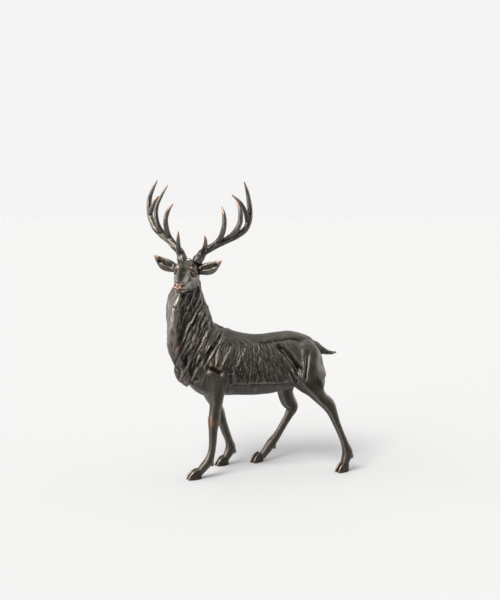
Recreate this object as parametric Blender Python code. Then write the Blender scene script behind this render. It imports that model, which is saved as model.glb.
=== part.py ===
"""A cast iron stag, standing with its head turned to its left.

The frame is in metres, with +Z up: the head end is towards -X, the stag's left side towards -Y.
Every size below is in millimetres, and is scaled to metres when the casting is finished.
"""

import math

import bmesh
import bpy
import numpy as np
from mathutils import Matrix, Vector
from mathutils.bvhtree import BVHTree
from mathutils.kdtree import KDTree

MM = 0.001

# Grain of the fused skin, and the number of triangles that the finished casting keeps.
VOXEL = 1.6
TRIANGLES = 9700
# Sides of a round mass, the gap between its rings, its least radius, and how far its ends bulge for
# each millimetre of radius.
SIDES = 28
RING_GAP = 3.0
LEAST_RADIUS = 0.6
END_BULGE = 0.7
# How sharply each named part gives way to the next, as a share of its radius.
PART_BLEND = 0.12
# Vertices this close to the floor are on it, and those this close together are one.
FLOOR_NEAR = 0.06
SAME_PLACE = 0.12

IRON = (0.045, 0.036, 0.030, 1.0)
ROUGHNESS = 0.45

# The head's turn from -X towards the left side, and its tilt, in degrees.
HEAD_YAW = 65.0
HEAD_ROLL = 4.0


# Columns: x, top, bottom, half width.
TRUNK = (
    (-113, 218, 166, 13),
    (-106, 242, 153, 24),
    (-92, 262, 140, 33),
    (-71, 261, 134.5, 38),
    (-54, 255, 135.5, 41),
    (-30, 246, 135, 42),
    (10, 238.7, 133.5, 42),
    (42, 241, 136.5, 39),
    (70, 242.5, 141.5, 37),
    (95, 236.5, 149, 34),
    (112, 226, 160, 25),
    (121, 214, 178, 12),
)
# Columns: x, y, z, half width, half depth, turn of the front towards the left side in degrees.
NECK = (
    (-112, -4, 157, 6, 8, 5),
    (-111, -4, 169, 18, 23, 10),
    (-105, -3, 188, 27, 32, 14),
    (-105, -2, 208, 34, 38, 20),
    (-109, -3, 232, 36, 44, 30),
    (-112, -4, 258, 35, 45, 42),
    (-116, -5, 280, 34, 41, 50),
    (-116, -7, 302, 29.5, 35, 58),
    (-113, -9, 322, 22.5, 27, 63),
    (-111, -11, 340, 17, 21, 65),
    (-111, -12, 352, 12, 14, 65),
)
TAIL = (
    (100, 0, 219, 10, 10),
    (118, 0, 213, 9, 8.5),
    (134, 0, 204, 7, 6.5),
    (147, 0, 200, 5, 4),
    (156, 0, 201, 2.5, 1.8),
)
# Columns: x, y, z, half width, half depth. Each leg runs from inside the trunk down to the pastern.
FORE_LEFT = (
    (-74, -20, 222, 13, 18),
    (-69, -27, 195, 15, 24),
    (-66, -30, 165, 14, 20),
    (-67, -31, 145, 11, 14),
    (-68, -32, 128, 9, 11.2),
    (-70.5, -32, 110, 7.5, 9.8),
    (-72, -32, 98, 8, 10.2),
    (-73.5, -32, 82, 6.3, 7.8),
    (-74.5, -32, 60, 5.4, 6.6),
    (-77, -32, 42, 5.6, 6.4),
    (-81.5, -32, 29, 7, 8),
    (-91, -32, 18, 6.8, 7.3),
    (-99, -32, 9, 6, 6),
)
FORE_RIGHT = (
    (-76, 20, 222, 13, 18),
    (-74, 27, 195, 15, 24),
    (-72, 31, 165, 14, 19),
    (-69, 33, 145, 11, 15),
    (-63, 34, 127, 9, 12),
    (-54, 35, 108, 7.5, 9.8),
    (-49, 35, 96, 8, 9.8),
    (-44.5, 35, 82, 6.6, 8.2),
    (-37.5, 35, 60, 6, 7.6),
    (-31, 35, 42, 6, 7.2),
    (-28.5, 35, 29, 7.4, 9.2),
    (-34, 35, 18, 7, 7.5),
    (-39, 35, 9, 6, 6),
)
HIND_LEFT = (
    (86, -16, 222, 12, 18),
    (93, -23, 200, 15, 26),
    (98.5, -29, 176, 16, 28.5),
    (100, -34, 158, 14, 27),
    (104, -37, 148, 13, 21.5),
    (108, -39, 139, 12, 14.5),
    (115, -42, 129, 9.5, 11.6),
    (127.5, -44, 117, 8.5, 11.6),
    (134, -46, 104, 7, 9),
    (139, -48, 90, 6, 7.2),
    (147, -50, 70, 5.4, 6.2),
    (155.5, -52, 48, 5.8, 6.8),
    (160, -53, 32, 7.2, 9.2),
    (156.5, -53, 20, 7, 7.6),
    (154, -53, 9, 6, 6.5),
)
HIND_RIGHT = (
    (84, 16, 222, 12, 18),
    (84, 23, 200, 15, 26),
    (79, 29, 176, 16, 27),
    (77, 33, 156, 14, 23),
    (73.5, 35, 140, 12, 18),
    (74, 37, 124, 9.5, 14),
    (79.5, 38, 109, 8.5, 13.6),
    (86.5, 38, 97, 7, 11.4),
    (81, 39, 83, 6, 8),
    (69.5, 39, 64, 5.4, 6.8),
    (58.5, 39, 46, 5.8, 7),
    (47, 39, 31, 7.2, 8.4),
    (38, 39, 19, 7, 7.4),
    (30, 39, 9, 6, 6.5),
)
# Columns: x and y of the hoof's middle, and the way it points in degrees from -X towards -Y.
HOOVES = ((-107, -32, 14), (-45, 35, 20), (150, -53, 24), (21, 39, 30))
# Half of the gap between a hoof's two claws, then their columns: ahead of the hoof's middle, height,
# half width, half length.
CLAW_OUT = 4.1
CLAW = (
    (0.0, -4, 4.4, 13),
    (-0.5, 1, 4.4, 13),
    (-2.5, 6, 4.3, 11),
    (-5.5, 10, 4.0, 8.0),
    (-9.0, 13.5, 3.4, 5.0),
)
# Two dewclaws behind each fetlock, which is the third row from a leg's lower end. Columns: above the
# fetlock, back from its rear, radius.
FETLOCK = -3
DEWCLAW_OUT = 3.8
DEWCLAW = ((-1, -2.6, 2.6), (-5, -1.8, 2.6), (-9, -2.4, 1.6))


# Grooves (minus) and ridges (plus) on the neck and the body: height, width, whether the right side has
# the same one, then points x, y, z on the left side.
CREASES = (
    (-2.6, 3.0, False, ((-80, -25, 258), (-93, -35, 237), (-104, -36, 215), (-111, -28, 191),
                        (-112, -23, 168))),
    (-2.4, 3.0, False, ((-52, -18, 255), (-69, -31, 230), (-83, -34, 213), (-90, -34, 192))),
    (-2.2, 2.8, False, ((-101, -35, 270), (-114, -38, 254), (-123, -36, 230))),
    (-2.0, 2.6, False, ((-83, -22, 282), (-93, -32, 265), (-100, -36, 240))),
    (-1.8, 2.6, False, ((-89, -19, 306), (-104, -34, 285), (-112, -37, 272))),
    (-1.6, 2.6, False, ((-101, -30, 301), (-117, -38, 283))),
    (2.2, 3.2, False, ((-66, -32, 230), (-76, -37, 212), (-83, -39, 195))),
    (1.8, 2.6, False, ((-94, -36, 213), (-104, -31, 193))),
    (-4.0, 5.0, False, ((-88, -37, 190), (-75, -42, 187), (-59, -43, 179))),
    (-1.3, 4.0, True, ((-22, -8, 241), (-6, -18, 232), (15, -23, 227), (45, -20, 231), (80, -20, 230),
                       (122, -10, 212))),
    (-3.2, 5.0, True, ((38, -25, 225), (50, -32, 212), (62, -36, 200), (72, -38, 184), (79, -41, 172))),
    (2.2, 3.0, True, ((85, -32, 215), (82, -42, 180), (79, -43, 164))),
    (-2.0, 3.2, True, ((93, -34, 214), (90, -41, 190), (84, -45, 167), (90, -47, 154))),
    (1.6, 2.4, True, ((62, -38, 186), (67, -37, 172), (74, -41, 164), (72, -36, 153))),
    (-2.0, 3.5, True, ((-45, -42, 178), (-44, -39, 160))),
)
# The lower edge of the coat along the flank, in columns x, z, and how deep and how far down the belly
# is set back below it.
HEM = ((-46, 161), (-27, 159), (17, 159), (37, 157), (58, 158), (76, 156))
HEM_STEP = 2.2
HEM_SHARP = 3.0
HEM_FALL = 20.0
HEM_ENDS = 10.0
# Keel of the mane, from the throat to its point, with its height and width.
KEEL_RISE = (4.0, 6.0)
KEEL = (
    (-129, -37, 312),
    (-135, -39, 296),
    (-136, -40, 281),
    (-140, -38, 258),
    (-139, -36, 240),
    (-135, -31, 219),
    (-128, -24, 197),
    (-121, -19, 176),
    (-118, -14, 160),
)

# Smoothing where the masses meet. The legs take part in it above the thigh's lower end.
JOIN_SPREAD = 6
JOIN_ROUNDS = 40
BODY_ROUNDS = 4
THIGH_LOW = 120.0
THIGH_FADE = 30.0

# Locks of the mane: rows from the top down, each lock's size in millimetres, and its lean in degrees.
LOCK_ROWS = 9
LOCK_TOP = 326.0
LOCK_DROP = 18.0
LOCKS_ROUND = 11
LOCK_LENGTH = (38.0, 56.0)
LOCK_WIDTH = (7.5, 10.5)
LOCK_HEIGHT = (2.6, 4.0)
LOCK_LEAN = 30.0
LOCK_STEPS = 10
# How far each lock strays from its place: round the neck in degrees, and up or down.
LOCK_STRAY = (6.0, 5.0)
# The mane ends above this height, over a short fade.
MANE_LOW = 156.0
MANE_FADE = 12.0
# Where the locks over each shoulder start: columns x, z.
SHOULDER_LOCKS = ((-66, 250), (-50, 240), (-63, 234), (-44, 224), (-66, 216), (-52, 206))
SHOULDER_SHARE = 0.8
SHOULDER_STRAY = 3.0
# Far enough from the middle of the stag to be outside it.
OUTSIDE = 120.0


def smooth_rows(rows, count):
    """Rows read along a Catmull-Rom curve through the given ones."""
    rows = np.array(rows, float)
    steps = np.linalg.norm(np.diff(rows[:, :3], axis=0), axis=1)
    at = np.concatenate([[0.0], np.cumsum(steps)])
    slopes = np.gradient(rows, at, axis=0)
    made = []
    for s in np.linspace(0, at[-1], count):
        i = min(int(np.searchsorted(at, s, side="right")) - 1, len(rows) - 2)
        i = max(i, 0)
        h = at[i + 1] - at[i]
        t = (s - at[i]) / h
        made.append(
            (2 * t**3 - 3 * t**2 + 1) * rows[i]
            + (t**3 - 2 * t**2 + t) * h * slopes[i]
            + (3 * t**2 - 2 * t**3) * rows[i + 1]
            + (t**3 - t**2) * h * slopes[i + 1]
        )
    return np.array(made)


def ring_shape(angle, egg, front, back):
    """One point of a unit section: egg narrows its +sin side, front and back are superellipse powers."""
    c, s = math.cos(angle), math.sin(angle)
    power = 2.0 / (front if s > 0 else back)
    across = math.copysign(abs(c) ** power, c) * (1 - egg * s)
    along = math.copysign(abs(s) ** power, s)
    return across, along


# The middle line of each mass, with its name, the way it faces and its size.
SPINES = []


def tube(bm, name, rows, across=(0, 1, 0), along=None, egg=0.0, front=2.0, back=2.0, sides=SIDES):
    """A closed tube through rows of x, y, z, half width, half depth and an optional turn.

    Its rings stand square to the tube, or to a fixed direction, which keeps them from crossing in a bend.
    """
    rows = np.array([tuple(row) + (0.0,) * (6 - len(row)) for row in rows], float)
    length = np.linalg.norm(np.diff(rows[:, :3], axis=0), axis=1).sum()
    rows = smooth_rows(rows, max(6, int(length / RING_GAP)))
    rows[:, 3:5] = np.maximum(rows[:, 3:5], LEAST_RADIUS)
    ways = np.gradient(rows[:, :3], axis=0)
    if along is not None:
        ways[:] = along
    rings = []
    frames = []
    for row, way in zip(rows, ways):
        middle, way = Vector(row[:3]), Vector(way).normalized()
        side = Vector(across)
        side = (side - way * side.dot(way)).normalized()
        turn = math.radians(row[5])
        side = side * math.cos(turn) + way.cross(side) * math.sin(turn)
        up = way.cross(side)
        frames.append((*middle, *side, *up, row[3], row[4]))
        ring = []
        for k in range(sides):
            u, v = ring_shape(2 * math.pi * k / sides, egg, front, back)
            ring.append(bm.verts.new(middle + side * (u * row[3]) + up * (v * row[4])))
        rings.append(ring)
    SPINES.append((name, np.array(frames)))
    for low, high in zip(rings, rings[1:]):
        for k in range(sides):
            j = (k + 1) % sides
            bm.faces.new((low[k], low[j], high[j], high[k]))
    for ring, way, row in ((rings[0], -ways[0], rows[0]), (rings[-1], ways[-1], rows[-1])):
        bulge = min(row[3], row[4]) * END_BULGE
        tip = bm.verts.new(Vector(row[:3]) + Vector(way).normalized() * bulge)
        for k in range(sides):
            bm.faces.new((ring[k], ring[(k + 1) % sides], tip))


def head_point(ahead, out, above):
    """A point of the head: ahead of the poll, out to the stag's right, and above."""
    yaw = math.radians(HEAD_YAW)
    roll = math.radians(HEAD_ROLL)
    forward = Vector((-math.cos(yaw), -math.sin(yaw), 0))
    level = Vector((-math.sin(yaw), math.cos(yaw), 0))
    plumb = Vector((0, 0, 1))
    right = level * math.cos(roll) + plumb * math.sin(roll)
    up = plumb * math.cos(roll) - level * math.sin(roll)
    return POLL + forward * ahead + right * out + up * above


# The top of the neck, which every place on the head is measured from.
POLL = Vector((-107, -10, 368))
# Columns: ahead of the poll, top and bottom above it, half width.
SKULL = (
    (-16, -8, -44, 10),
    (-6, -1, -48, 15.5),
    (6, 2, -51, 19),
    (18, -0.5, -53, 20),
    (28, -8, -53, 19),
    (38, -17, -52, 15),
    (48, -25, -51, 11.5),
    (57, -30.5, -50.5, 9.8),
    (62, -32.5, -48.5, 9.2),
    (65.5, -35, -46, 7.5),
)
# Columns: out from the middle, above the poll, behind the poll, radius. The main beam comes first, then
# the brow tine and the three upper tines.
RIGHT_ANTLER = (
    (
        (11.5, -3, -5, 8.4),
        (13.5, 2, -3, 9.2),
        (16, 7, 0, 8),
        (18.5, 12, 2, 7.4),
        (31, 22, 7, 6.7),
        (45, 32, 14, 6.4),
        (62, 41, 22, 6.1),
        (76, 52, 30, 5.7),
        (85, 66, 37, 5.3),
        (90.5, 84, 43, 4.8),
        (91, 99, 46, 4.2),
        (86, 114, 45, 3.2),
        (78, 130, 42, 1),
    ),
    ((17, 8, 2, 5.8), (19, 15, -5, 5), (19, 27, -13, 4), (18.5, 37, -17, 3), (18, 48, -20, 1)),
    ((31, 24, 9, 5.4), (42, 35, 12, 5.2), (47, 51, 8, 4.7), (48.5, 66, 6, 4.3), (45.5, 79, 7, 3.4),
     (39, 92, 11, 1)),
    ((43, 31, 15, 5.4), (54, 39, 19, 5.2), (63, 51, 17, 4.8), (69, 67, 18, 4.4), (70, 86, 21, 3.8),
     (64, 104, 25, 2.8), (55, 123, 29, 1)),
    ((87, 67, 38, 4.8), (84, 78, 36, 4.2), (79, 91, 34, 3.4), (72, 103, 34, 1.2)),
)
LEFT_ANTLER = (
    (
        (12, -2, -5, 8.4),
        (14, 3, -3, 9.2),
        (17, 8, 0, 8),
        (19.5, 14, 2, 7.4),
        (30, 22, 7, 6.7),
        (42, 30, 14, 6.4),
        (56, 38, 20, 6.2),
        (71, 46.5, 26, 5.9),
        (83, 58, 34, 5.6),
        (87.5, 73, 39, 5.2),
        (87, 89, 43, 4.9),
        (84, 104, 45, 4.4),
        (80, 120, 45, 3.2),
        (74, 137, 42, 1),
    ),
    ((17, 10, 2, 5.6), (22, 18, -2, 5), (27, 28, -12, 4), (28, 36, -16, 3), (27, 44, -20, 1)),
    ((32, 24, 9, 5.4), (41, 33, 13, 5.2), (50, 49, 8, 4.8), (52.5, 66, 6, 4.4), (50.5, 81, 7, 3.4),
     (45, 93, 11, 1)),
    ((44, 31, 16, 5.4), (58, 41, 21, 5.4), (72, 57, 18, 5), (77, 74, 18, 4.6), (75, 89, 20, 3.8),
     (67, 104, 24, 1.2)),
    ((87, 66, 38, 4.9), (81, 87, 35, 4.2), (72, 101, 33, 3.4), (56, 114, 32, 1)),
)
# Columns: out from the middle, above the poll, ahead of it, half width, half thickness.
EAR = (
    (12, -16, 2, 5, 5),
    (20, -15, 3, 7, 5),
    (30, -12, 4, 10, 5),
    (40, -9, 5, 10.5, 4),
    (50, -2, 6, 6.5, 3),
    (57.5, 4, 7, 1.5, 1.5),
)
EAR_SHIFT = 3.0
# The face, cut alike on both sides: height, width, then points ahead of, out from and above the poll.
FACE = (
    (1.7, 2.6, ((32, 8.5, -9), (30, 14, -12), (22, 18, -17))),
    (-2.4, 4.2, ((34, 12, -19), (30, 17, -20), (25, 19, -20))),
    (0.9, 2.2, ((36, 7.5, -14), (48, 6.8, -23), (59, 6.5, -30))),
    (-1.2, 3.0, ((38, 12, -25), (46, 10.5, -31), (54, 9.5, -36))),
    (1.5, 6.0, ((20, 20, -34), (10, 19, -40))),
    (0.9, 3.0, ((36, 13, -49), (18, 17, -52))),
    (-1.5, 1.9, ((66, 0, -43), (62, 8, -44), (52, 10.5, -46), (43, 13, -45))),
    (-2.2, 1.8, ((66, 3.5, -36.5), (63, 7.5, -36), (59, 9, -36))),
    (1.1, 2.6, ((64, 7, -33), (57, 9, -35))),
    (-1.0, 3.2, ((66, 0, -36), (66, 0, -41))),
    (1.4, 5.0, ((8, 0, 3), (16, 0, 1))),
)
EYE = (33, 15.5, -19)
EYE_SIZE = 3.3
EYE_RISE = 2.0
EAR_HOLLOW = (-3.4, 4.2, ((10, 24, -13), (11, 34, -10), (12, 44, -6), (11, 52, -2)))

# Strokes of hair down each flank: how many, the rectangle in x and z that they start in, their length,
# their height and width, and their slant at the shoulder and at the haunch.
STROKES = 22
STROKE_ROOM = ((-36, 48), (182, 232))
STROKE_LENGTH = (16.0, 30.0)
STROKE = (-1.0, 2.6)
STROKE_SLANT = (-0.25, 0.42)


def skull(bm):
    rows = []
    for ahead, top, low, wide in SKULL:
        p = head_point(ahead, 0, (top + low) / 2)
        rows.append((p.x, p.y, p.z, wide, (top - low) / 2))
    tube(bm, "head", rows, across=head_point(0, -1, 0) - POLL, front=2.4, back=2.2)


def horn(bm, rows, side):
    made = []
    for out, above, behind, radius in rows:
        p = head_point(-behind, out * side, above)
        made.append((p.x, p.y, p.z, radius, radius))
    tube(bm, "antler", made, across=head_point(1, 0, 0) - POLL, sides=14)


def ear(bm, side):
    rows = []
    for out, above, ahead, wide, thick in EAR:
        p = head_point(ahead, out * side + EAR_SHIFT, above)
        rows.append((p.x, p.y, p.z, thick, wide))
    tube(bm, "ear", rows, across=head_point(1, 0, 0) - POLL, sides=18)


def hoof(bm, x, y, turn):
    turn = math.radians(turn)
    forward = Vector((-math.cos(turn), -math.sin(turn), 0))
    side = Vector((-forward.y, forward.x, 0))
    for out in (-CLAW_OUT, CLAW_OUT):
        rows = []
        for ahead, z, wide, long in CLAW:
            p = Vector((x, y, z)) + forward * ahead + side * out
            rows.append((p.x, p.y, p.z, wide, long))
        tube(bm, "hoof", rows, across=side, sides=20)


def leg(bm, rows):
    """A leg down to the pastern, with its two dewclaws."""
    tube(bm, "leg", rows, front=2.5, back=2.5)
    x, y, z, _, deep = rows[FETLOCK]
    for out in (-DEWCLAW_OUT, DEWCLAW_OUT):
        claw = [(x + deep + back, y + out, z + up, radius, radius) for up, back, radius in DEWCLAW]
        tube(bm, "leg", claw, sides=10)


def rough_stag():
    """The masses of the stag, overlapping, in one mesh."""
    bm = bmesh.new()
    rows = [(x, 0, (top + low) / 2, wide, (top - low) / 2) for x, top, low, wide in TRUNK]
    tube(bm, "trunk", rows, along=(1, 0, 0), egg=0.2, front=2.0, back=2.3)
    tube(bm, "neck", NECK, egg=0.15, front=1.5, back=2.1)
    tube(bm, "tail", TAIL)
    for rows in (FORE_LEFT, FORE_RIGHT, HIND_LEFT, HIND_RIGHT):
        leg(bm, rows)
    for place in HOOVES:
        hoof(bm, *place)
    skull(bm)
    for side, antler in ((-1, LEFT_ANTLER), (1, RIGHT_ANTLER)):
        ear(bm, side)
        for rows in antler:
            horn(bm, rows, side)
    bmesh.ops.recalc_face_normals(bm, faces=bm.faces)
    mesh = bpy.data.meshes.new("stag")
    bm.to_mesh(mesh)
    bm.free()
    obj = bpy.data.objects.new("stag", mesh)
    bpy.context.scene.collection.objects.link(obj)
    return obj


def apply_modifiers(obj):
    """The object's mesh as its modifiers leave it."""
    bpy.context.view_layer.update()
    shaped = obj.evaluated_get(bpy.context.evaluated_depsgraph_get())
    mesh = bpy.data.meshes.new_from_object(shaped)
    obj.modifiers.clear()
    obj.data = mesh


def fuse(obj, voxel):
    """Joins the masses into one skin."""
    remesh = obj.modifiers.new("fuse", "REMESH")
    remesh.mode = "VOXEL"
    remesh.voxel_size = voxel
    apply_modifiers(obj)


class Skin:
    """The fused surface as arrays, for carving."""

    def __init__(self, mesh):
        self.mesh = mesh
        self.co = np.empty(len(mesh.vertices) * 3)
        mesh.vertices.foreach_get("co", self.co)
        self.co = self.co.reshape(-1, 3)
        edges = np.empty(len(mesh.edges) * 2, int)
        mesh.edges.foreach_get("vertices", edges)
        self.edges = edges.reshape(-1, 2)
        self.store()

    def store(self):
        """Writes the places back and reads the normals."""
        self.mesh.vertices.foreach_set("co", self.co.ravel())
        self.mesh.update()
        self.normals = np.empty(len(self.co) * 3)
        self.mesh.vertices.foreach_get("normal", self.normals)
        self.normals = self.normals.reshape(-1, 3)

    def spread(self, values):
        """The mean of each vertex's neighbours."""
        a, b = self.edges.T
        count = len(self.co)
        near = np.bincount(a, minlength=count) + np.bincount(b, minlength=count)
        flat = values.reshape(count, -1)
        total = np.stack(
            [
                np.bincount(a, flat[b, k], count) + np.bincount(b, flat[a, k], count)
                for k in range(flat.shape[1])
            ],
            axis=1,
        )
        return (total / near[:, None]).reshape(values.shape)

    def relax(self, weight, rounds):
        """Smooths the places where weight is more than nothing."""
        for _ in range(rounds):
            self.co += (self.spread(self.co) - self.co) * weight[:, None] * 0.5

    def seek(self):
        """A search tree over the vertices."""
        tree = KDTree(len(self.co))
        for i, place in enumerate(self.co):
            tree.insert(place, i)
        tree.balance()
        return tree


def tube_depth(co, frames):
    """How far out each place is in a tube, with 1 at its skin."""
    best = np.empty(len(co))
    for start in range(0, len(co), 20000):
        part = co[start:start + 20000]
        gaps = ((part[:, None, :] - frames[None, :, :3]) ** 2).sum(axis=2)
        near = frames[gaps.argmin(axis=1)]
        away = part - near[:, :3]
        u = (away * near[:, 3:6]).sum(axis=1) / near[:, 9]
        v = (away * near[:, 6:9]).sum(axis=1) / near[:, 10]
        ends = np.sqrt(gaps.min(axis=1)) / np.maximum(near[:, 9], near[:, 10])
        best[start:start + 20000] = np.maximum(np.hypot(u, v), ends * 0.8)
    return best


def parts_of(co):
    """Soft shares of each named part at each place."""
    depth = {}
    for name, frames in SPINES:
        out = tube_depth(co, frames)
        depth[name] = np.minimum(depth[name], out) if name in depth else out
    least = np.min(list(depth.values()), axis=0)
    shares = {name: np.exp(-(((out - least) / PART_BLEND) ** 2)) for name, out in depth.items()}
    total = sum(shares.values())
    return {name: share / total for name, share in shares.items()}


def trace(points, gap=1.5):
    """A smooth line through points, as places with about one gap between them."""
    points = np.array(points, float)
    length = np.linalg.norm(np.diff(points, axis=0), axis=1).sum()
    return smooth_rows(points, max(4, int(length / gap)))


def near_line(skin, tree, line, reach):
    """Vertices near a line, how far along it they are from 0 to 1, and how far from it."""
    found = {}
    last = len(line) - 1
    for k, place in enumerate(line):
        for _, i, gap in tree.find_range(place, reach):
            if i not in found or gap < found[i][1]:
                found[i] = (k / last, gap)
    at = np.fromiter(found, int, len(found))
    pairs = np.array([found[i] for i in at]).reshape(-1, 2)
    return at, pairs[:, 0], pairs[:, 1]


def settle(tree, points):
    """The line with each point moved to the nearest vertex."""
    return np.array([tree.find(point)[0] for point in trace(points)])


def crease(skin, tree, push, points, height, width):
    """Adds a groove or a ridge along a line to the push of each vertex."""
    line = settle(tree, points)
    at, along, gap = near_line(skin, tree, line, width * 2.4)
    fade = np.clip(np.minimum(along, 1 - along) * 6, 0, 1) ** 0.7
    push[at] += height * fade * np.exp(-((gap / width) ** 2))


def keel_angle(z):
    """The way the front of the neck faces at a height, in degrees from -X towards -Y."""
    rows = np.array(NECK)
    return np.interp(z, rows[:, 2], rows[:, 5])


def neck_middle(z):
    rows = np.array(NECK)
    return np.array([np.interp(z, rows[:, 2], rows[:, 0]), np.interp(z, rows[:, 2], rows[:, 1]), z])


def lock_line(bvh, start, length, side, lean):
    """A line that runs down over the surface and leans towards the keel."""
    line = [np.array(start)]
    for _ in range(LOCK_STEPS):
        place, normal, _, _ = bvh.find_nearest(Vector(line[-1]))
        around = normal.cross(Vector((0, 0, 1))) * side
        if around.length > 0.01:
            around.normalize()
        way = Vector((0, 0, -1)) * math.cos(lean) + around * math.sin(lean)
        way -= normal * way.dot(normal)
        way.normalize()
        place, _, _, _ = bvh.find_nearest(place + way * (length / LOCK_STEPS))
        line.append(np.array(place))
    return np.array(line)


def lock(skin, tree, raised, line, height, width):
    """Raises one pointed lock of hair with a sharp crest along its line."""
    line = trace(line, 1.0)
    at, along, gap = near_line(skin, tree, line, width * 1.3)
    reach = width * 1.55 * along**0.4 * (1 - along) ** 0.55 + 0.01
    crest = np.clip(1 - gap / reach, 0, 1)
    raised[at] = np.maximum(raised[at], height * (0.35 + 0.65 * along) * crest**0.8)


def mane_locks(rng, bvh):
    """Lines, heights and widths of the locks round the neck and over the shoulders."""
    for row in range(LOCK_ROWS):
        z = LOCK_TOP - row * LOCK_DROP
        for k in range(LOCKS_ROUND):
            off = (k + 0.5 * (row % 2) + 0.25) * 360 / LOCKS_ROUND + rng.uniform(-1, 1) * LOCK_STRAY[0]
            off = (off + 180) % 360 - 180
            height = z + rng.uniform(-1, 1) * LOCK_STRAY[1]
            angle = math.radians(keel_angle(height) + off)
            way = Vector((-math.cos(angle), -math.sin(angle), 0))
            middle = Vector(neck_middle(height))
            start, _, _, _ = bvh.ray_cast(middle + way * OUTSIDE, -way)
            if start is None or start.z > LOCK_TOP + LOCK_STRAY[1]:
                continue
            side = 1 if off > 0 else -1
            lean = math.radians(LOCK_LEAN * min(1, abs(off) / 40))
            line = lock_line(bvh, start, rng.uniform(*LOCK_LENGTH), side, lean)
            yield line, rng.uniform(*LOCK_HEIGHT), rng.uniform(*LOCK_WIDTH)
    for side in (1, -1):
        for x, z in SHOULDER_LOCKS:
            dx, dz = rng.uniform(-SHOULDER_STRAY, SHOULDER_STRAY, 2)
            start, _, _, _ = bvh.ray_cast(Vector((x + dx, -OUTSIDE * side, z + dz)), Vector((0, side, 0)))
            line = lock_line(bvh, start, rng.uniform(*LOCK_LENGTH), side, math.radians(LOCK_LEAN))
            yield line, rng.uniform(*LOCK_HEIGHT) * SHOULDER_SHARE, rng.uniform(*LOCK_WIDTH)


def face(skin, tree, push):
    """The brows, eyes, nose and mouth, and the hollows of the ears."""
    for side in (-1, 1):
        for height, width, points in FACE:
            places = [head_point(ahead, out * side, above) for ahead, out, above in points]
            crease(skin, tree, push, places, height, width)
        ahead, out, above = EYE
        middle = tree.find(head_point(ahead, out * side, above))[0]
        for _, i, gap in tree.find_range(middle, EYE_SIZE * 1.3):
            push[i] += EYE_RISE * math.sqrt(max(0.0, 1 - (gap / (EYE_SIZE * 1.3)) ** 2))
        height, width, points = EAR_HOLLOW
        places = [head_point(ahead, out * side + EAR_SHIFT, above) for ahead, out, above in points]
        crease(skin, tree, push, places, height, width)


def scatter(rng, room, count):
    """Places spread evenly but not in rows over a rectangle."""
    (left, right), (low, high) = room
    places = []
    for _ in range(count):
        tries = [(rng.uniform(left, right), rng.uniform(low, high)) for _ in range(30)]
        gaps = [min((math.hypot(x - a, (z - b) * 0.5) for a, b in places), default=1) for x, z in tries]
        places.append(tries[int(np.argmax(gaps))])
    return places


def flank_strokes(skin, tree, bvh, push, rng):
    """Short strokes of hair down the flanks."""
    height, width = STROKE
    for side in (1, -1):
        for x, z in scatter(rng, STROKE_ROOM, STROKES):
            slant = np.interp(x, STROKE_ROOM[0], STROKE_SLANT)
            length = rng.uniform(*STROKE_LENGTH)
            points = []
            for drop in (0, 0.35, 0.7, 1):
                away = length * drop
                origin = Vector((x + slant * away, -OUTSIDE * side, z - away))
                points.append(bvh.ray_cast(origin, Vector((0, side, 0)))[0])
            crease(skin, tree, push, points, height, width)


def blend_joins(skin, parts):
    """Smooths the body where one mass runs into another, such as a shoulder into the trunk."""
    thigh = np.clip((skin.co[:, 2] - THIGH_LOW) / THIGH_FADE, 0, 1)
    body = np.clip(parts["trunk"] + parts["neck"] * 0.8 + parts["leg"] * thigh, 0, 1)
    mixed = 1 - np.max(list(parts.values()), axis=0)
    for _ in range(JOIN_SPREAD):
        mixed = np.maximum(mixed, skin.spread(mixed))
    skin.relax(np.clip(mixed * 3, 0, 1) * body, JOIN_ROUNDS)
    skin.relax(body, BODY_ROUNDS)
    skin.store()


def hem_depth(co):
    """How far the belly is set back below the lower edge of the coat."""
    xs, zs = np.array(HEM).T
    below = np.interp(co[:, 0], xs, zs) - co[:, 2]
    ends = np.clip(np.minimum(co[:, 0] - xs[0], xs[-1] - co[:, 0]) / HEM_ENDS, 0, 1)
    return HEM_STEP * ends * np.clip(below / HEM_SHARP + 0.5, 0, 1) * np.clip(1 - below / HEM_FALL, 0, 1)


def carve(obj):
    """Carves the coat, the folds and the face into the fused skin."""
    rng = np.random.default_rng(11)
    skin = Skin(obj.data)
    parts = parts_of(skin.co)
    blend_joins(skin, parts)
    bvh = BVHTree.FromObject(obj, bpy.context.evaluated_depsgraph_get())
    tree = skin.seek()
    raised = np.zeros(len(skin.co))
    for line, height, width in mane_locks(rng, bvh):
        lock(skin, tree, raised, line, height, width)
    push = raised * np.clip(1 - parts["head"] * 3, 0, 1)
    push *= np.clip((skin.co[:, 2] - MANE_LOW) / MANE_FADE, 0, 1)
    for height, width, both, points in CREASES:
        crease(skin, tree, push, points, height, width)
        if both:
            crease(skin, tree, push, [(x, -y, z) for x, y, z in points], height, width)
    crease(skin, tree, push, KEEL, *KEEL_RISE)
    flank_strokes(skin, tree, bvh, push, rng)
    face(skin, tree, push)
    push -= hem_depth(skin.co) * parts["trunk"]
    skin.co += skin.normals * push[:, None]
    skin.store()


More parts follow.
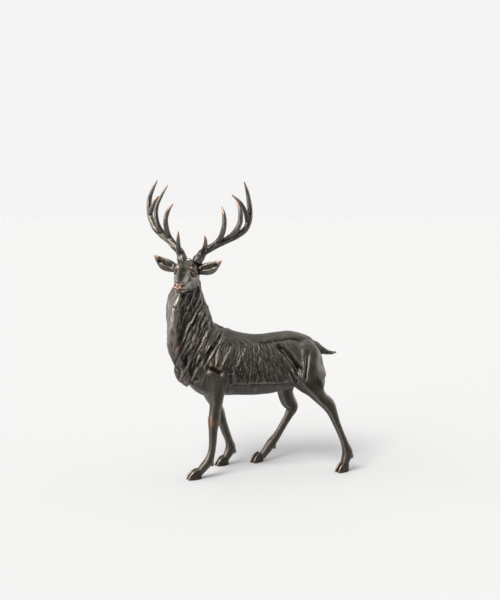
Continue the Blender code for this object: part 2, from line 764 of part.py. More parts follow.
def trim(obj, triangles):
    """Thins the mesh and cuts the soles flat on the floor."""
    thin = obj.modifiers.new("thin", "DECIMATE")
    quads = len(obj.data.polygons)
    thin.ratio = triangles / (2 * quads)
    thin.use_collapse_triangulate = True
    apply_modifiers(obj)
    bm = bmesh.new()
    bm.from_mesh(obj.data)
    cut = bmesh.ops.bisect_plane(
        bm,
        geom=bm.verts[:] + bm.edges[:] + bm.faces[:],
        dist=0.05,
        plane_co=(0, 0, 0),
        plane_no=(0, 0, 1),
        clear_inner=True,
    )
    rim = [part for part in cut["geom_cut"] if isinstance(part, bmesh.types.BMEdge)]
    bmesh.ops.holes_fill(bm, edges=rim, sides=0)
    for vert in bm.verts:
        if abs(vert.co.z) < FLOOR_NEAR:
            vert.co.z = 0
    bmesh.ops.triangulate(bm, faces=bm.faces)
    bmesh.ops.remove_doubles(bm, verts=bm.verts, dist=SAME_PLACE)
    bmesh.ops.dissolve_degenerate(bm, edges=bm.edges, dist=0.05)
    bmesh.ops.triangulate(bm, faces=bm.faces)
    bmesh.ops.recalc_face_normals(bm, faces=bm.faces)
    bm.to_mesh(obj.data)
    bm.free()


def iron():
    material = bpy.data.materials.new("iron")
    material.use_nodes = True
    shader = material.node_tree.nodes["Principled BSDF"]
    shader.inputs["Base Color"].default_value = IRON
    shader.inputs["Metallic"].default_value = 1.0
    shader.inputs["Roughness"].default_value = ROUGHNESS
    return material


def main():
    for obj in list(bpy.data.objects):
        bpy.data.objects.remove(obj)
    stag = rough_stag()
    fuse(stag, VOXEL)
    carve(stag)
    trim(stag, TRIANGLES)
    stag.data.transform(Matrix.Scale(MM, 4))
    stag.data.materials.append(iron())


main()
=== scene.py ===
"""A cast iron stag with a rubbed bronze-brown finish, standing on a pale studio floor.

The stag is carved in millimetres, with +Z up, its head end towards -X and its left side towards -Y, and is
scaled to metres at the end.
"""

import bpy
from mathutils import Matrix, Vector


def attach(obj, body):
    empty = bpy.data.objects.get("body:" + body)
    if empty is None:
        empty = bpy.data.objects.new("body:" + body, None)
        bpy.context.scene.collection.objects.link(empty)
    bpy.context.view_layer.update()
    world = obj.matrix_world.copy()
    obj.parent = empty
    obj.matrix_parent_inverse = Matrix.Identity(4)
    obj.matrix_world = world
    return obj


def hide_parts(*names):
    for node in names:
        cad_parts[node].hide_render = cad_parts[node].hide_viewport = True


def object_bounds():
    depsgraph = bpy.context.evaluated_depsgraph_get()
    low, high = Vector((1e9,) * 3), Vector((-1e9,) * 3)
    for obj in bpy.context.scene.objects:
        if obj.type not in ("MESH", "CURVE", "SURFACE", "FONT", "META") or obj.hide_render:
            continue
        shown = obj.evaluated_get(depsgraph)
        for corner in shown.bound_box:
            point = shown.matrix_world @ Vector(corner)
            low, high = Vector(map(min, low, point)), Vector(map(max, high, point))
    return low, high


bl_info = {
    "name": "Cast Iron Stag",
    "version": (1, 0, 0),
    "blender": (4, 5, 0),
    "location": "3D View > Sidebar > Stag",
    "description": "Carves a cast iron stag with a rubbed patina and sets it in a pale studio",
    "category": "Object",
}

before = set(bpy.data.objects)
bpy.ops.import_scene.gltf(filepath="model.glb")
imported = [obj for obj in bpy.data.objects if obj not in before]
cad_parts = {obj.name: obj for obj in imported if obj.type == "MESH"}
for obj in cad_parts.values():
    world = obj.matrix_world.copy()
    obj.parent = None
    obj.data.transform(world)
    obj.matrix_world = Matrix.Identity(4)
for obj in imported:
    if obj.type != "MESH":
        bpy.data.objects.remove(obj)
cad_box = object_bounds()

import math

import bmesh
import bpy
import numpy as np
from mathutils import Matrix, Vector
from mathutils.bvhtree import BVHTree
from mathutils.kdtree import KDTree

MM = 0.001

# The two rows of random draws: one for the hair, one for the chiselled faces.
HAIR_SEED = 11
CHISEL_SEED = 5
# Nothing is divided by less than these.
TINY = 1e-9
LEAST_WEIGHT = 1e-6
# Sides of a round mass and of the smaller kinds, the gap between rings, their least radius, and how far
# the ends bulge for each millimetre of radius.
SIDES = 40
CLAW_SIDES = 20
DEWCLAW_SIDES = 10
EAR_SIDES = 18
HORN_SIDES = 14
RING_GAP = 2.0
LEAST_RADIUS = 0.6
END_BULGE = 0.7
# How far out of a mass a place past its end is, for each radius of distance.
END_DEPTH = 0.8
# How sharply each named part gives way to the next, as a share of its radius.
PART_BLEND = 0.12
# Vertices this close to the floor are on it, and those this close together are one.
FLOOR_NEAR = 0.06
SAME_PLACE = 0.05

# The head's turn from -X towards the left side, and its tilt, in degrees.
HEAD_YAW = 65.0
HEAD_ROLL = 4.0

# Columns: x, top, bottom, half width.
TRUNK = (
    (-113, 218, 166, 13),
    (-106, 242, 153, 24),
    (-92, 262, 140, 33),
    (-71, 261, 134.5, 38),
    (-54, 255, 135.5, 41),
    (-30, 246, 135, 42),
    (10, 238.7, 133.5, 42),
    (42, 241, 136.5, 39),
    (70, 242.5, 141.5, 37),
    (95, 236.5, 149, 34),
    (112, 226, 160, 25),
    (121, 214, 178, 12),
)
# Columns: x, y, z, half width, half depth, turn of the front towards the left side in degrees.
NECK = (
    (-112, -4, 157, 6, 8, 5),
    (-111, -4, 169, 18, 23, 10),
    (-105, -3, 188, 27, 32, 14),
    (-105, -2, 208, 34, 38, 20),
    (-109, -3, 232, 36, 44, 30),
    (-112, -4, 258, 35, 45, 42),
    (-116, -5, 280, 34, 41, 50),
    (-116, -7, 302, 29.5, 35, 58),
    (-113, -9, 322, 22.5, 27, 63),
    (-111, -11, 340, 17, 21, 65),
    (-111, -12, 352, 12, 14, 65),
)
TAIL = (
    (100, 0, 219, 10, 10),
    (118, 0, 213, 9, 8.5),
    (134, 0, 204, 7, 6.5),
    (147, 0, 200, 5, 4),
    (156, 0, 201, 2.5, 1.8),
)
# Columns: x, y, z, half width, half depth. Each leg runs from inside the trunk down to the pastern.
FORE_LEFT = (
    (-74, -20, 222, 13, 18),
    (-69, -27, 195, 15, 24),
    (-66, -30, 165, 14, 20),
    (-67, -31, 145, 11, 14),
    (-68, -32, 128, 9, 11.2),
    (-70.5, -32, 110, 7.5, 9.8),
    (-72, -32, 98, 8, 10.2),
    (-73.5, -32, 82, 6.3, 7.8),
    (-74.5, -32, 60, 5.4, 6.6),
    (-77, -32, 42, 5.6, 6.4),
    (-81.5, -32, 29, 7, 8),
    (-91, -32, 18, 6.8, 7.3),
    (-99, -32, 9, 6, 6),
)
FORE_RIGHT = (
    (-76, 20, 222, 13, 18),
    (-74, 27, 195, 15, 24),
    (-72, 31, 165, 14, 19),
    (-69, 33, 145, 11, 15),
    (-63, 34, 127, 9, 12),
    (-54, 35, 108, 7.5, 9.8),
    (-49, 35, 96, 8, 9.8),
    (-44.5, 35, 82, 6.6, 8.2),
    (-37.5, 35, 60, 6, 7.6),
    (-31, 35, 42, 6, 7.2),
    (-28.5, 35, 29, 7.4, 9.2),
    (-34, 35, 18, 7, 7.5),
    (-39, 35, 9, 6, 6),
)
HIND_LEFT = (
    (86, -16, 222, 12, 18),
    (93, -23, 200, 15, 26),
    (98.5, -29, 176, 16, 28.5),
    (100, -34, 158, 14, 27),
    (104, -37, 148, 13, 21.5),
    (108, -39, 139, 12, 14.5),
    (115, -42, 129, 9.5, 11.6),
    (127.5, -44, 117, 8.5, 11.6),
    (134, -46, 104, 7, 9),
    (139, -48, 90, 6, 7.2),
    (147, -50, 70, 5.4, 6.2),
    (155.5, -52, 48, 5.8, 6.8),
    (160, -53, 32, 7.2, 9.2),
    (156.5, -53, 20, 7, 7.6),
    (154, -53, 9, 6, 6.5),
)
HIND_RIGHT = (
    (84, 16, 222, 12, 18),
    (84, 23, 200, 15, 26),
    (79, 29, 176, 16, 27),
    (77, 33, 156, 14, 23),
    (73.5, 35, 140, 12, 18),
    (74, 37, 124, 9.5, 14),
    (79.5, 38, 109, 8.5, 13.6),
    (86.5, 38, 97, 7, 11.4),
    (81, 39, 83, 6, 8),
    (69.5, 39, 64, 5.4, 6.8),
    (58.5, 39, 46, 5.8, 7),
    (47, 39, 31, 7.2, 8.4),
    (38, 39, 19, 7, 7.4),
    (30, 39, 9, 6, 6.5),
)
# Columns: x and y of the hoof's middle, and the way it points in degrees from -X towards -Y.
HOOVES = ((-107, -32, 14), (-45, 35, 20), (150, -53, 24), (21, 39, 30))
# Half of the gap between a hoof's two claws, then their columns: ahead of the hoof's middle, height,
# half width, half length.
CLAW_OUT = 4.1
CLAW = (
    (0.0, -4, 4.4, 13),
    (-0.5, 1, 4.4, 13),
    (-2.5, 6, 4.3, 11),
    (-5.5, 10, 4.0, 8.0),
    (-9.0, 13.5, 3.4, 5.0),
)
# Two dewclaws behind each fetlock, which is the third row from a leg's lower end. Columns: above the
# fetlock, back from its rear, radius.
FETLOCK = -3
DEWCLAW_OUT = 3.8
DEWCLAW = ((-1, -2.6, 2.6), (-5, -1.8, 2.6), (-9, -2.4, 1.6))

# Grooves (minus) and ridges (plus) on the neck and the body: height, width, whether the right side has
# the same one, then points x, y, z on the left side. The last row is the keel of the mane, from the
# throat to its point.
CREASES = (
    (-2.6, 3.0, False, ((-80, -25, 258), (-93, -35, 237), (-104, -36, 215), (-111, -28, 191),
                        (-112, -23, 168))),
    (-2.4, 3.0, False, ((-52, -18, 255), (-69, -31, 230), (-83, -34, 213), (-90, -34, 192))),
    (-2.2, 2.8, False, ((-101, -35, 270), (-114, -38, 254), (-123, -36, 230))),
    (-2.0, 2.6, False, ((-83, -22, 282), (-93, -32, 265), (-100, -36, 240))),
    (-1.8, 2.6, False, ((-89, -19, 306), (-104, -34, 285), (-112, -37, 272))),
    (-1.6, 2.6, False, ((-101, -30, 301), (-117, -38, 283))),
    (2.2, 3.2, False, ((-66, -32, 230), (-76, -37, 212), (-83, -39, 195))),
    (1.8, 2.6, False, ((-94, -36, 213), (-104, -31, 193))),
    (-4.0, 5.0, False, ((-88, -37, 190), (-75, -42, 187), (-59, -43, 179))),
    (-1.3, 4.0, True, ((-22, -8, 241), (-6, -18, 232), (15, -23, 227), (45, -20, 231), (80, -20, 230),
                       (122, -10, 212))),
    (-3.2, 5.0, True, ((38, -25, 225), (50, -32, 212), (62, -36, 200), (72, -38, 184), (79, -41, 172))),
    (0.8, 3.0, True, ((85, -32, 215), (82, -42, 180), (79, -43, 164))),
    (-1.4, 3.2, True, ((93, -34, 214), (90, -41, 190), (84, -45, 167), (90, -47, 154))),
    (1.6, 2.4, True, ((62, -38, 186), (67, -37, 172), (74, -41, 164), (72, -36, 153))),
    (-2.0, 3.5, True, ((-45, -42, 178), (-44, -39, 160))),
    (-1.8, 5.5, False, ((-127, -40, 298), (-125, -39, 279), (-125, -39, 262), (-127, -37, 245),
                        (-128, -36, 226))),
    (-2.6, 2.2, False, ((-82, -26, 257), (-98, -36, 219), (-110, -22, 173))),
    (-2.6, 2.0, False, ((-54, -15, 248), (-73, -32, 224), (-90, -35, 196))),
    (-2.0, 1.8, False, ((-87, -16, 299), (-102, -33, 274), (-111, -36, 255))),
    (-2.0, 1.8, False, ((-74, -8, 275), (-88, -30, 256), (-98, -35, 237))),
    (-2.0, 2.2, False, ((-113, -36, 230), (-119, -28, 203), (-122, -24, 179))),
    (-1.8, 1.6, False, ((-141, -35, 294), (-134, -41, 291))),
    (-2.2, 3.0, True, ((42, -25, 220), (56, -30, 213), (66, -34, 200), (74, -36, 186), (81, -44, 178))),
    (-1.8, 1.4, True, ((37, -27, 219), (49, -30, 209), (56, -36, 197), (65, -37, 185), (76, -40, 173))),
    (1.6, 1.3, True, ((61, -39, 182), (72, -38, 162))),
    (1.6, 1.3, True, ((69, -35, 184), (76, -42, 170))),
    (1.4, 1.3, True, ((56, -39, 175), (69, -30, 154))),
    (1.5, 1.0, True, ((82, -41, 193), (80, -44, 165))),
    (-1.8, 1.5, True, ((92, -35, 206), (84, -45, 158))),
    (-1.0, 1.8, True, ((-1, -18, 231), (19, -20, 226), (41, -21, 228), (65, -19, 231), (98, -26, 225),
                       (125, -8, 211))),
    (-1.2, 3.0, False, ((-88, -37, 192), (-75, -39, 188), (-61, -42, 178))),
    (4.0, 6.0, False, ((-129, -37, 312), (-135, -39, 296), (-136, -40, 281), (-140, -38, 258),
                       (-139, -36, 240), (-135, -31, 219), (-128, -24, 197), (-121, -19, 176),
                       (-118, -14, 160))),
)
# The lower edge of the coat along the flank, in columns x, z, and how deep and how far down the belly
# is set back below it.
HEM = ((-46, 161), (-27, 159), (17, 159), (37, 157), (58, 158), (76, 156))
HEM_STEP = 2.2
HEM_SHARP = 3.0
HEM_FALL = 20.0
HEM_ENDS = 10.0
# The gap between the places that a line is drawn through, how far out from its middle a groove still
# cuts, in widths, and how steeply its ends fade.
TRACE_GAP = 1.5
CREASE_REACH = 2.4
CREASE_ENDS = 6
CREASE_ROUND = 0.7
# The least length of a step along a line, and how much further out it is searched than it reaches,
# because it may be bent between its places.
LEAST_STEP = 0.01
BENT = 0.3

# Smoothing where the masses meet: how far it spreads, its rounds, how steeply it sets in, and the neck's
# share of it. Then the rounds for the whole body. The legs take part above the thigh's lower end.
JOIN_SPREAD = 12
JOIN_ROUNDS = 160
JOIN_GAIN = 3
NECK_JOIN = 0.8
BODY_ROUNDS = 16
THIGH_LOW = 120.0
THIGH_FADE = 30.0

# Locks of the mane: rows from the top down, each lock's size in millimetres, and its lean in degrees.
LOCK_ROWS = 9
LOCK_TOP = 326.0
LOCK_DROP = 18.0
LOCKS_ROUND = 11
LOCK_LENGTH = (38.0, 56.0)
LOCK_WIDTH = (7.5, 10.5)
LOCK_HEIGHT = (2.6, 4.0)
LOCK_LEAN = 30.0
# The lean is full this many degrees round from the keel.
LOCK_TURN = 40.0
LOCK_STEPS = 10
# A lock's outline: its width, how it swells from its root and how it narrows to its tip. Then how far
# out its hairs reach, in widths, how high its root is, and how steeply its tip falls.
LOCK_OUTLINE = (1.75, 0.4, 0.8)
LOCK_REACH = 1.3
LOCK_ROOT = 0.3
LOCK_TIP = 7
# How far each lock strays from its place: round the neck in degrees, and up or down.
LOCK_STRAY = (6.0, 5.0)
# The mane ends above this height, over a short fade.
MANE_LOW = 156.0
MANE_FADE = 12.0
# Where the locks over each shoulder start: columns x, z.
SHOULDER_LOCKS = ((-66, 250), (-50, 240), (-63, 234), (-44, 224), (-66, 216), (-52, 206))
SHOULDER_SHARE = 0.8
SHOULDER_STRAY = 3.0
# Far enough from the middle of the stag to be outside it.
OUTSIDE = 120.0

# The top of the neck, which every place on the head is measured from.
POLL = Vector((-107, -10, 368))
# Columns: ahead of the poll, top and bottom above it, half width.
SKULL = (
    (-16, -8, -44, 10),
    (-6, -1, -48, 15.5),
    (6, 2, -51, 19),
    (18, -0.5, -53, 20),
    (28, -8, -53, 19),
    (38, -17, -52, 15),
    (48, -25, -51, 11.5),
    (57, -30.5, -50.5, 9.8),
    (62, -32.5, -48.5, 9.2),
    (65.5, -35, -46, 7.5),
)
# Columns: out from the middle, above the poll, behind the poll, radius. The main beam comes first, then
# the brow tine and the three upper tines.
RIGHT_ANTLER = (
    (
        (11.5, -3, -5, 8.4),
        (13.5, 2, -3, 9.2),
        (16, 7, 0, 8),
        (18.5, 12, 2, 7.4),
        (31, 22, 7, 6.7),
        (45, 32, 14, 6.4),
        (62, 41, 22, 6.1),
        (76, 52, 30, 5.7),
        (85, 66, 37, 5.3),
        (90.5, 84, 43, 4.8),
        (91, 99, 46, 4.2),
        (86, 114, 45, 3.2),
        (78, 130, 42, 1),
    ),
    ((17, 8, 2, 5.8), (19, 15, -5, 5), (19, 27, -13, 4), (18.5, 37, -17, 3), (18, 48, -20, 1)),
    ((31, 24, 9, 5.4), (42, 35, 12, 5.2), (47, 51, 8, 4.7), (48.5, 66, 6, 4.3), (45.5, 79, 7, 3.4),
     (39, 92, 11, 1)),
    ((43, 31, 15, 5.4), (54, 39, 19, 5.2), (63, 51, 17, 4.8), (69, 67, 18, 4.4), (70, 86, 21, 3.8),
     (64, 104, 25, 2.8), (55, 123, 29, 1)),
    ((87, 67, 38, 4.8), (84, 78, 36, 4.2), (79, 91, 34, 3.4), (72, 103, 34, 1.2)),
)
LEFT_ANTLER = (
    (
        (12, -2, -5, 8.4),
        (14, 3, -3, 9.2),
        (17, 8, 0, 8),
        (19.5, 14, 2, 7.4),
        (30, 22, 7, 6.7),
        (42, 30, 14, 6.4),
        (56, 38, 20, 6.2),
        (71, 46.5, 26, 5.9),
        (83, 58, 34, 5.6),
        (87.5, 73, 39, 5.2),
        (87, 89, 43, 4.9),
        (84, 104, 45, 4.4),
        (80, 120, 45, 3.2),
        (74, 137, 42, 1),
    ),
    ((17, 10, 2, 5.6), (22, 18, -2, 5), (27, 28, -12, 4), (28, 36, -16, 3), (27, 44, -20, 1)),
    ((32, 24, 9, 5.4), (41, 33, 13, 5.2), (50, 49, 8, 4.8), (52.5, 66, 6, 4.4), (50.5, 81, 7, 3.4),
     (45, 93, 11, 1)),
    ((44, 31, 16, 5.4), (58, 41, 21, 5.4), (72, 57, 18, 5), (77, 74, 18, 4.6), (75, 89, 20, 3.8),
     (67, 104, 24, 1.2)),
    ((87, 66, 38, 4.9), (81, 87, 35, 4.2), (72, 101, 33, 3.4), (56, 114, 32, 1)),
)
# Columns: out from the middle, above the poll, ahead of it, half width, half thickness.
EAR = (
    (12, -16, 2, 5, 5),
    (20, -15, 3, 7, 5),
    (30, -12, 4, 10, 5),
    (40, -9, 5, 10.5, 4),
    (50, -2, 6, 6.5, 3),
    (57.5, 4, 7, 1.5, 1.5),
)
EAR_SHIFT = 3.0
# A ridge across the crown that the ears and the antlers grow from: out, above, ahead, radius.
EAR_ROOTS = ((-21, -15, 0, 5.5), (-10, -8, 0, 8), (10, -8, 0, 8), (24, -14, 1, 5.5))
# The face, cut alike on both sides: height, width, then points ahead of, out from and above the poll.
FACE = (
    (1.7, 2.6, ((32, 8.5, -9), (30, 14, -12), (22, 18, -17))),
    (-2.4, 4.2, ((34, 12, -19), (30, 17, -20), (25, 19, -20))),
    (0.9, 2.2, ((36, 7.5, -14), (48, 6.8, -23), (59, 6.5, -30))),
    (-1.2, 3.0, ((38, 12, -25), (46, 10.5, -31), (54, 9.5, -36))),
    (1.5, 6.0, ((20, 20, -34), (10, 19, -40))),
    (0.9, 3.0, ((36, 13, -49), (18, 17, -52))),
    (-1.5, 1.9, ((66, 0, -43), (62, 8, -44), (52, 10.5, -46), (43, 13, -45))),
    (-2.2, 1.8, ((66, 3.5, -36.5), (63, 7.5, -36), (59, 9, -36))),
    (1.1, 2.6, ((64, 7, -33), (57, 9, -35))),
    (-1.0, 3.2, ((66, 0, -36), (66, 0, -41))),
    (1.4, 5.0, ((8, 0, 3), (16, 0, 1))),
    (1.0, 1.2, ((34, 8.5, -12), (47, 7, -22), (59, 6.3, -30))),
    (-1.0, 4.5, ((26, 0, -6), (46, 0, -22), (58, 0, -31))),
    (-1.4, 3.6, ((40, 13, -27), (50, 11, -35), (56, 10, -39))),
    (0.9, 1.3, ((33, 9, -8.5), (31, 13, -11), (25, 17.5, -15))),
    (1.0, 1.0, ((37.5, 12.5, -17), (34, 15, -14.5), (29, 17.5, -16.5))),
    (0.8, 1.0, ((37.5, 12.5, -21), (33, 16, -23.5), (28.5, 18, -21))),
    (-0.9, 0.9, ((38, 12.5, -20), (41, 11.5, -24), (43, 11, -28))),
    (-1.3, 1.1, ((66, 4, -36.5), (63, 7.5, -36), (60, 8.5, -36.5))),
    (-1.2, 0.9, ((66, 0, -43), (62, 8, -44), (52, 10.5, -46), (41, 13.5, -44))),
    (0.7, 1.2, ((65.5, 0, -46), (61, 7, -47), (52, 10, -49))),
    (0.8, 1.6, ((64, 3.5, -33.5), (62.5, 6.5, -33.5), (60, 8.5, -34.5))),
)
# The hollow of an ear and its two ribs, in the same columns.
EAR_LINES = (
    (-3.4, 4.2, ((10, 24, -13), (11, 34, -10), (12, 44, -6), (11, 52, -2))),
    (1.2, 0.9, ((11, 26, -15), (12, 36, -13), (12, 46, -8))),
    (1.0, 0.9, ((11, 26, -11), (12, 36, -8), (12, 46, -4))),
)
# The eye, and how wide and how high it bulges.
EYE = (33, 15.5, -19)
EYE_SIZE = 4.29
EYE_RISE = 2.0
# The size of its socket, how deep and how wide the rim is cut, how far that reaches, and the rise of the
# eyeball.
SOCKET_SIZE = 4.6
SOCKET_DEPTH = 1.5
SOCKET_EDGE = 1.2
SOCKET_REACH = 8.28
BALL_RISE = 1.5

# Strokes of hair down each flank: how many, the rectangle in x and z that they start in, their length,
# their height and width, and their slant at the shoulder and at the haunch.
STROKES = 22
STROKE_ROOM = ((-36, 48), (182, 232))
STROKE_LENGTH = (16.0, 30.0)
STROKE = (-0.4, 2.2)
STROKE_SLANT = (-0.25, 0.42)
# The shares of its length that a stroke is drawn through, and how many places are tried for each one.
STROKE_POINTS = (0, 0.35, 0.7, 1)
STROKE_TRIES = 30

# Hair engraved over the coat: the gap between its strokes, their length, depth and width, how much each
# one wavers, in degrees, how fast, and in which steps. They taper by steepness at the root and at the tip,
# and a power. Barer places than the least have none.
HAIR_GAP = 3.0
HAIR_LENGTH = (9.0, 22.0)
HAIR_DEPTH = (0.5, 1.0)
HAIR_WIDTH = (1.05, 1.35)
HAIR_WAVER = 12.0
HAIR_WAVE = 0.9
HAIR_STEP = 1.2
HAIR_TAPER = (3, 2, 0.6)
HAIR_LEAST = 0.1
# The way the hair lies on the trunk: columns x, and how far it runs back for each millimetre down.
HAIR_SLANT = ((-60, -0.5), (-38, -0.42), (-15, -0.1), (10, 0.2), (45, 0.55), (85, 1.0))
# Between these heights the hair turns back towards the tail. Then the way that it lies: on the back, the
# legs and the tail in x, y, z, and on the head in ahead, out, above.
HAIR_TOP = (222, 234)
BACK_WAY = (1.0, 0.0, -0.25)
LEG_WAY = (0.25, 0.0, -1.0)
TAIL_WAY = (1.0, 0.0, -0.2)
HEAD_WAY = (-1.0, 0.0, -0.2)
# How deeply the hair is cut on each part, how it thins out along the flank in columns x, share, over which
# height it begins above the hem, and how bare the back is, between which heights.
COAT = {"trunk": 0.7, "neck": 0.35, "tail": 0.8}
FLANK_HAIR = ((-70, 0.6), (-55, 1.0), (40, 1.0), (62, 0.12))
HEM_HAIR = 6.0
BACK_BARE = 0.85
BACK_HEIGHTS = (224, 232)
NECK_HEIGHTS = (166, 186)
NECK_LEAST = 0.15
# Fine hairs cut into each lock: how far out from its crest as a share of its width, depth and width. They
# lie closer at its ends, further apart midway, and fade towards the ends by this steepness.
LOCK_HAIRS = ((-0.42, -0.35, 1.05), (0.38, -0.4, 1.1))
LOCK_ENDS = 0.4
LOCK_MIDDLE = 2.4
LOCK_FADE = 4
# A place with this share of an antler or a leg is cut as one.
CUT_FROM = 0.3
# Lengthwise grooves on the antlers: how many round them, their depth, how round the ridges are between
# them, what evens out the cut, the rings over which they fade at a tip, and how they waver: how far and how
# fast, and how much they twist from ring to ring.
HORN_GROOVES = 7
HORN_DEPTH = 0.5
HORN_ROUND = 0.7
HORN_EVEN = 0.75
HORN_TIP = 9
HORN_WAVER = (0.35, 0.35, 0.02)
# Flat faces cut on the antlers and on the legs: how many, how much of the way to flat, and the rounds of
# smoothing after it. The even share that a leg gets back keeps its girth.
HORN_FACES = 6
HORN_FLAT = 0.55
HORN_SOFT = 1
LEG_FACES = 5
LEG_FLAT = 1.35
LEG_EVEN = 0.115
LEG_SOFT = 8
# The heights between which the faces begin above a hoof, where they end and over which height, and the
# least length of a leg, which leaves out the dewclaws.
LEG_FOOT = (8, 18)
LEG_TOP = 165.0
LEG_FADE = 30.0
LEG_LEAST = 30
# The largest locks of the mane, given one by one on the left side: height, width, then points.
LARGE_LOCKS = (
    (4.2, 8.0, ((-102, -34, 277), (-113, -36, 251), (-122, -34, 230))),
    (4.8, 8.5, ((-71, -27, 235), (-78, -36, 215), (-85, -37, 193))),
    (3.8, 7.5, ((-90, -30, 245), (-98, -34, 217), (-103, -29, 191))),
    (3.2, 7.0, ((-86, -12, 305), (-96, -28, 290), (-110, -38, 268))),
    (3.6, 7.5, ((-72, -11, 267), (-84, -27, 249), (-96, -34, 227))),
    (4.4, 9.5, ((-56, -21, 242), (-66, -36, 216), (-72, -40, 188))),
    (3.4, 7.0, ((-84, -20, 289), (-97, -32, 267), (-103, -37, 248))),
    (3.6, 8.0, ((-61, -12, 253), (-80, -30, 232), (-89, -33, 217))),
    (3.0, 7.0, ((-119, -36, 305), (-123, -39, 279), (-130, -38, 252))),
)
# How much of its height a lock keeps. Columns: degrees round the neck from the keel, share.
FRONT_SHARE = ((-110, 1.2), (-80, 0.6), (-4, 0.3), (4, 0.45), (22, 0.75), (36, 1.35), (120, 1.3))
# This sets in between these heights.
FRONT_HEIGHTS = (195, 220)
# Behind the mane's point, over this x, the locks end between these heights.
SHOULDER_REAR = (-92, -86)
SHOULDER_HEIGHTS = (184, 192)
# Places pressed in (minus) or filled out (plus) on both sides: a place, its size, the height.
PRESSED = (
    ((132, -12, 206), 12, -2.5),
    ((122, -38, 186), 14, -4.5),
    ((118, -44, 166), 12, -2.0),
    ((74, -30, 150), 7, 3.4),
    ((-43, 0, 249), 7, 1.6),
    ((-53, 0, 254), 9, -3.6),
)
# Chiselled faces, part by part: the gap between their middles, and how sharply they are cut.
CHISELS = {"neck": (10.0, 2.2), "trunk": (15.0, 0.5)}
# How much taller than wide they are, how softly they meet as a share of the gap, and how many of them
# and how much of their tilt a place is weighed by.
CHISEL_LONG = 1.8
CHISEL_SOFT = 0.26
CHISEL_NEAR = 8
CHISEL_FACING = 0.3
# The least gap and how late the faces set in from it, the rounds of smoothing that give a face its way,
# the most that it moves the skin, the heights over which it fades on the back, and the height of a lock
# that hides it, apart from the share that is left.
CHISEL_LEAST = 7
CHISEL_EASE = 0.4
CHISEL_ROUNDS = 10
CHISEL_MOST = 1.3
CHISEL_BACK = (200, 220)
CHISEL_UNDER = 2.5
CHISEL_LEFT = 0.2
# The front of the eyeball, from the poll like the eye. Then the marks round it, each with how far it
# reaches and how soft its edge is.
EYEBALL = (36, 16.5, -19)
EYE_RINGS = (("socket", 6.6, 1.6), ("iris", 2.5, 0.7), ("pupil", 1.5, 0.7))
# Rounds of smoothing that tell the fine, the middling and the broad bumps from the shape under them.
FINE_ROUNDS = 7
MID_ROUNDS = 26
BROAD_ROUNDS = 60
# Where handling has rubbed the finish through to copper. Columns: a place, its size, how strongly.
RUBBED = (
    ((-103, -43, 14), 7, 0.35),
    ((-84, -36, 26), 7, 0.4),
    ((-80, -36, 97), 9, 0.9),
    ((-37, 35, 12), 6, 0.2),
    ((148, -53, 14), 10, 0.55),
    ((14, 39, 12), 7, 0.2),
    ((-122, -17, 167), 9, 0.6),
    ((-136, -34, 224), 6, 0.55),
    ((-101, -35, 232), 7, 0.4),
    ((-122, -36, 250), 9, 0.2),
    ((-65, -42, 186), 8, 0.4),
    ((-70, -40, 203), 9, 0.4),
)
# Painted highlights: spots painted paler on the haunches, the shoulder, the lit front of the mane and its
# brightest locks. Columns: a place, its size, how strongly.
PAINTED_HIGHLIGHTS = (
    ((106, -40, 186), 26, 0.3),
    ((96, -30, 218), 16, 0.2),
    ((-62, -40, 205), 9, 0.3),
    ((-146, -18, 290), 15, 0.6),
    ((-148, -28, 265), 14, 0.7),
    ((-148, -28, 242), 14, 0.65),
    ((-142, -24, 222), 10, 0.4),
    ((-108, -36, 262), 6, 0.5),
    ((-116, -36, 246), 6, 0.6),
    ((-92, -34, 222), 8, 0.35),
    ((-80, -36, 208), 8, 0.35),
    ((-98, -26, 282), 9, 0.3),
    ((108, 40, 186), 26, 0.3),
)
# The same painted highlights on the cheeks and by the eyes, in columns ahead of, out from and above the
# poll.
PAINTED_HIGHLIGHTS_HEAD = (
    ((48, 13, -30), 9, 1.0),
    ((34, 18, -28), 9, 0.9),
    ((44, 14, -40), 8, 0.7),
    ((36, 16, -14), 4, 0.5),
)
# Painted shade: spots painted darker in the armpits, the flank hollows, the lower flank behind the
# shoulder, the shaded plane beside the mane's keel and high on the neck's left side.
PAINTED_SHADE = (
    ((-30, -45, 184), 17, 0.9),
    ((-8, -46, 178), 16, 0.7),
    ((-76, -44, 180), 9, 0.8),
    ((-66, -42, 186), 8, 0.9),
    ((-90, -40, 186), 7, 0.7),
    ((-125, -39, 285), 7, 0.9),
    ((-124, -40, 270), 8, 1.0),
    ((-125, -39, 256), 8, 1.0),
    ((-127, -37, 242), 8, 0.9),
    ((-127, -36, 228), 7, 0.7),
    ((44, -26, 217), 9, 1.0),
    ((54, -30, 209), 9, 1.0),
    ((64, -33, 198), 9, 1.0),
    ((74, -36, 186), 8, 1.0),
    ((-112, -46, 308), 8, 0.8),
)
# Darker spots on the head: along the bridge of the nose, and painted shade in the ears' hollows, in the
# same columns.
DARK_HEAD = (
    ((24, 0, -6), 9, 0.7),
    ((36, 0, -14), 8, 1.0),
    ((46, 0, -22), 7, 1.0),
    ((55, 0, -29), 5, 0.7),
    ((8, 34, -10), 8, 0.8),
    ((8, 44, -6), 6, 0.7),
)
# Copper on the head, in columns ahead of, out from and above the poll.
RUBBED_HEAD = (
    ((33, 10, -9), 3.5, 0.9),
    ((28, 15, -13), 3.5, 0.9),
    ((65, 0, -37), 5, 0.9),
    ((65, 5, -39), 4, 0.7),
    ((61, 5, -45), 5, 0.6),
    ((58, 0, -50), 5, 0.35),
    ((8, 51, 0), 5, 0.6),
    ((8, 55, 4), 5, 0.8),
)
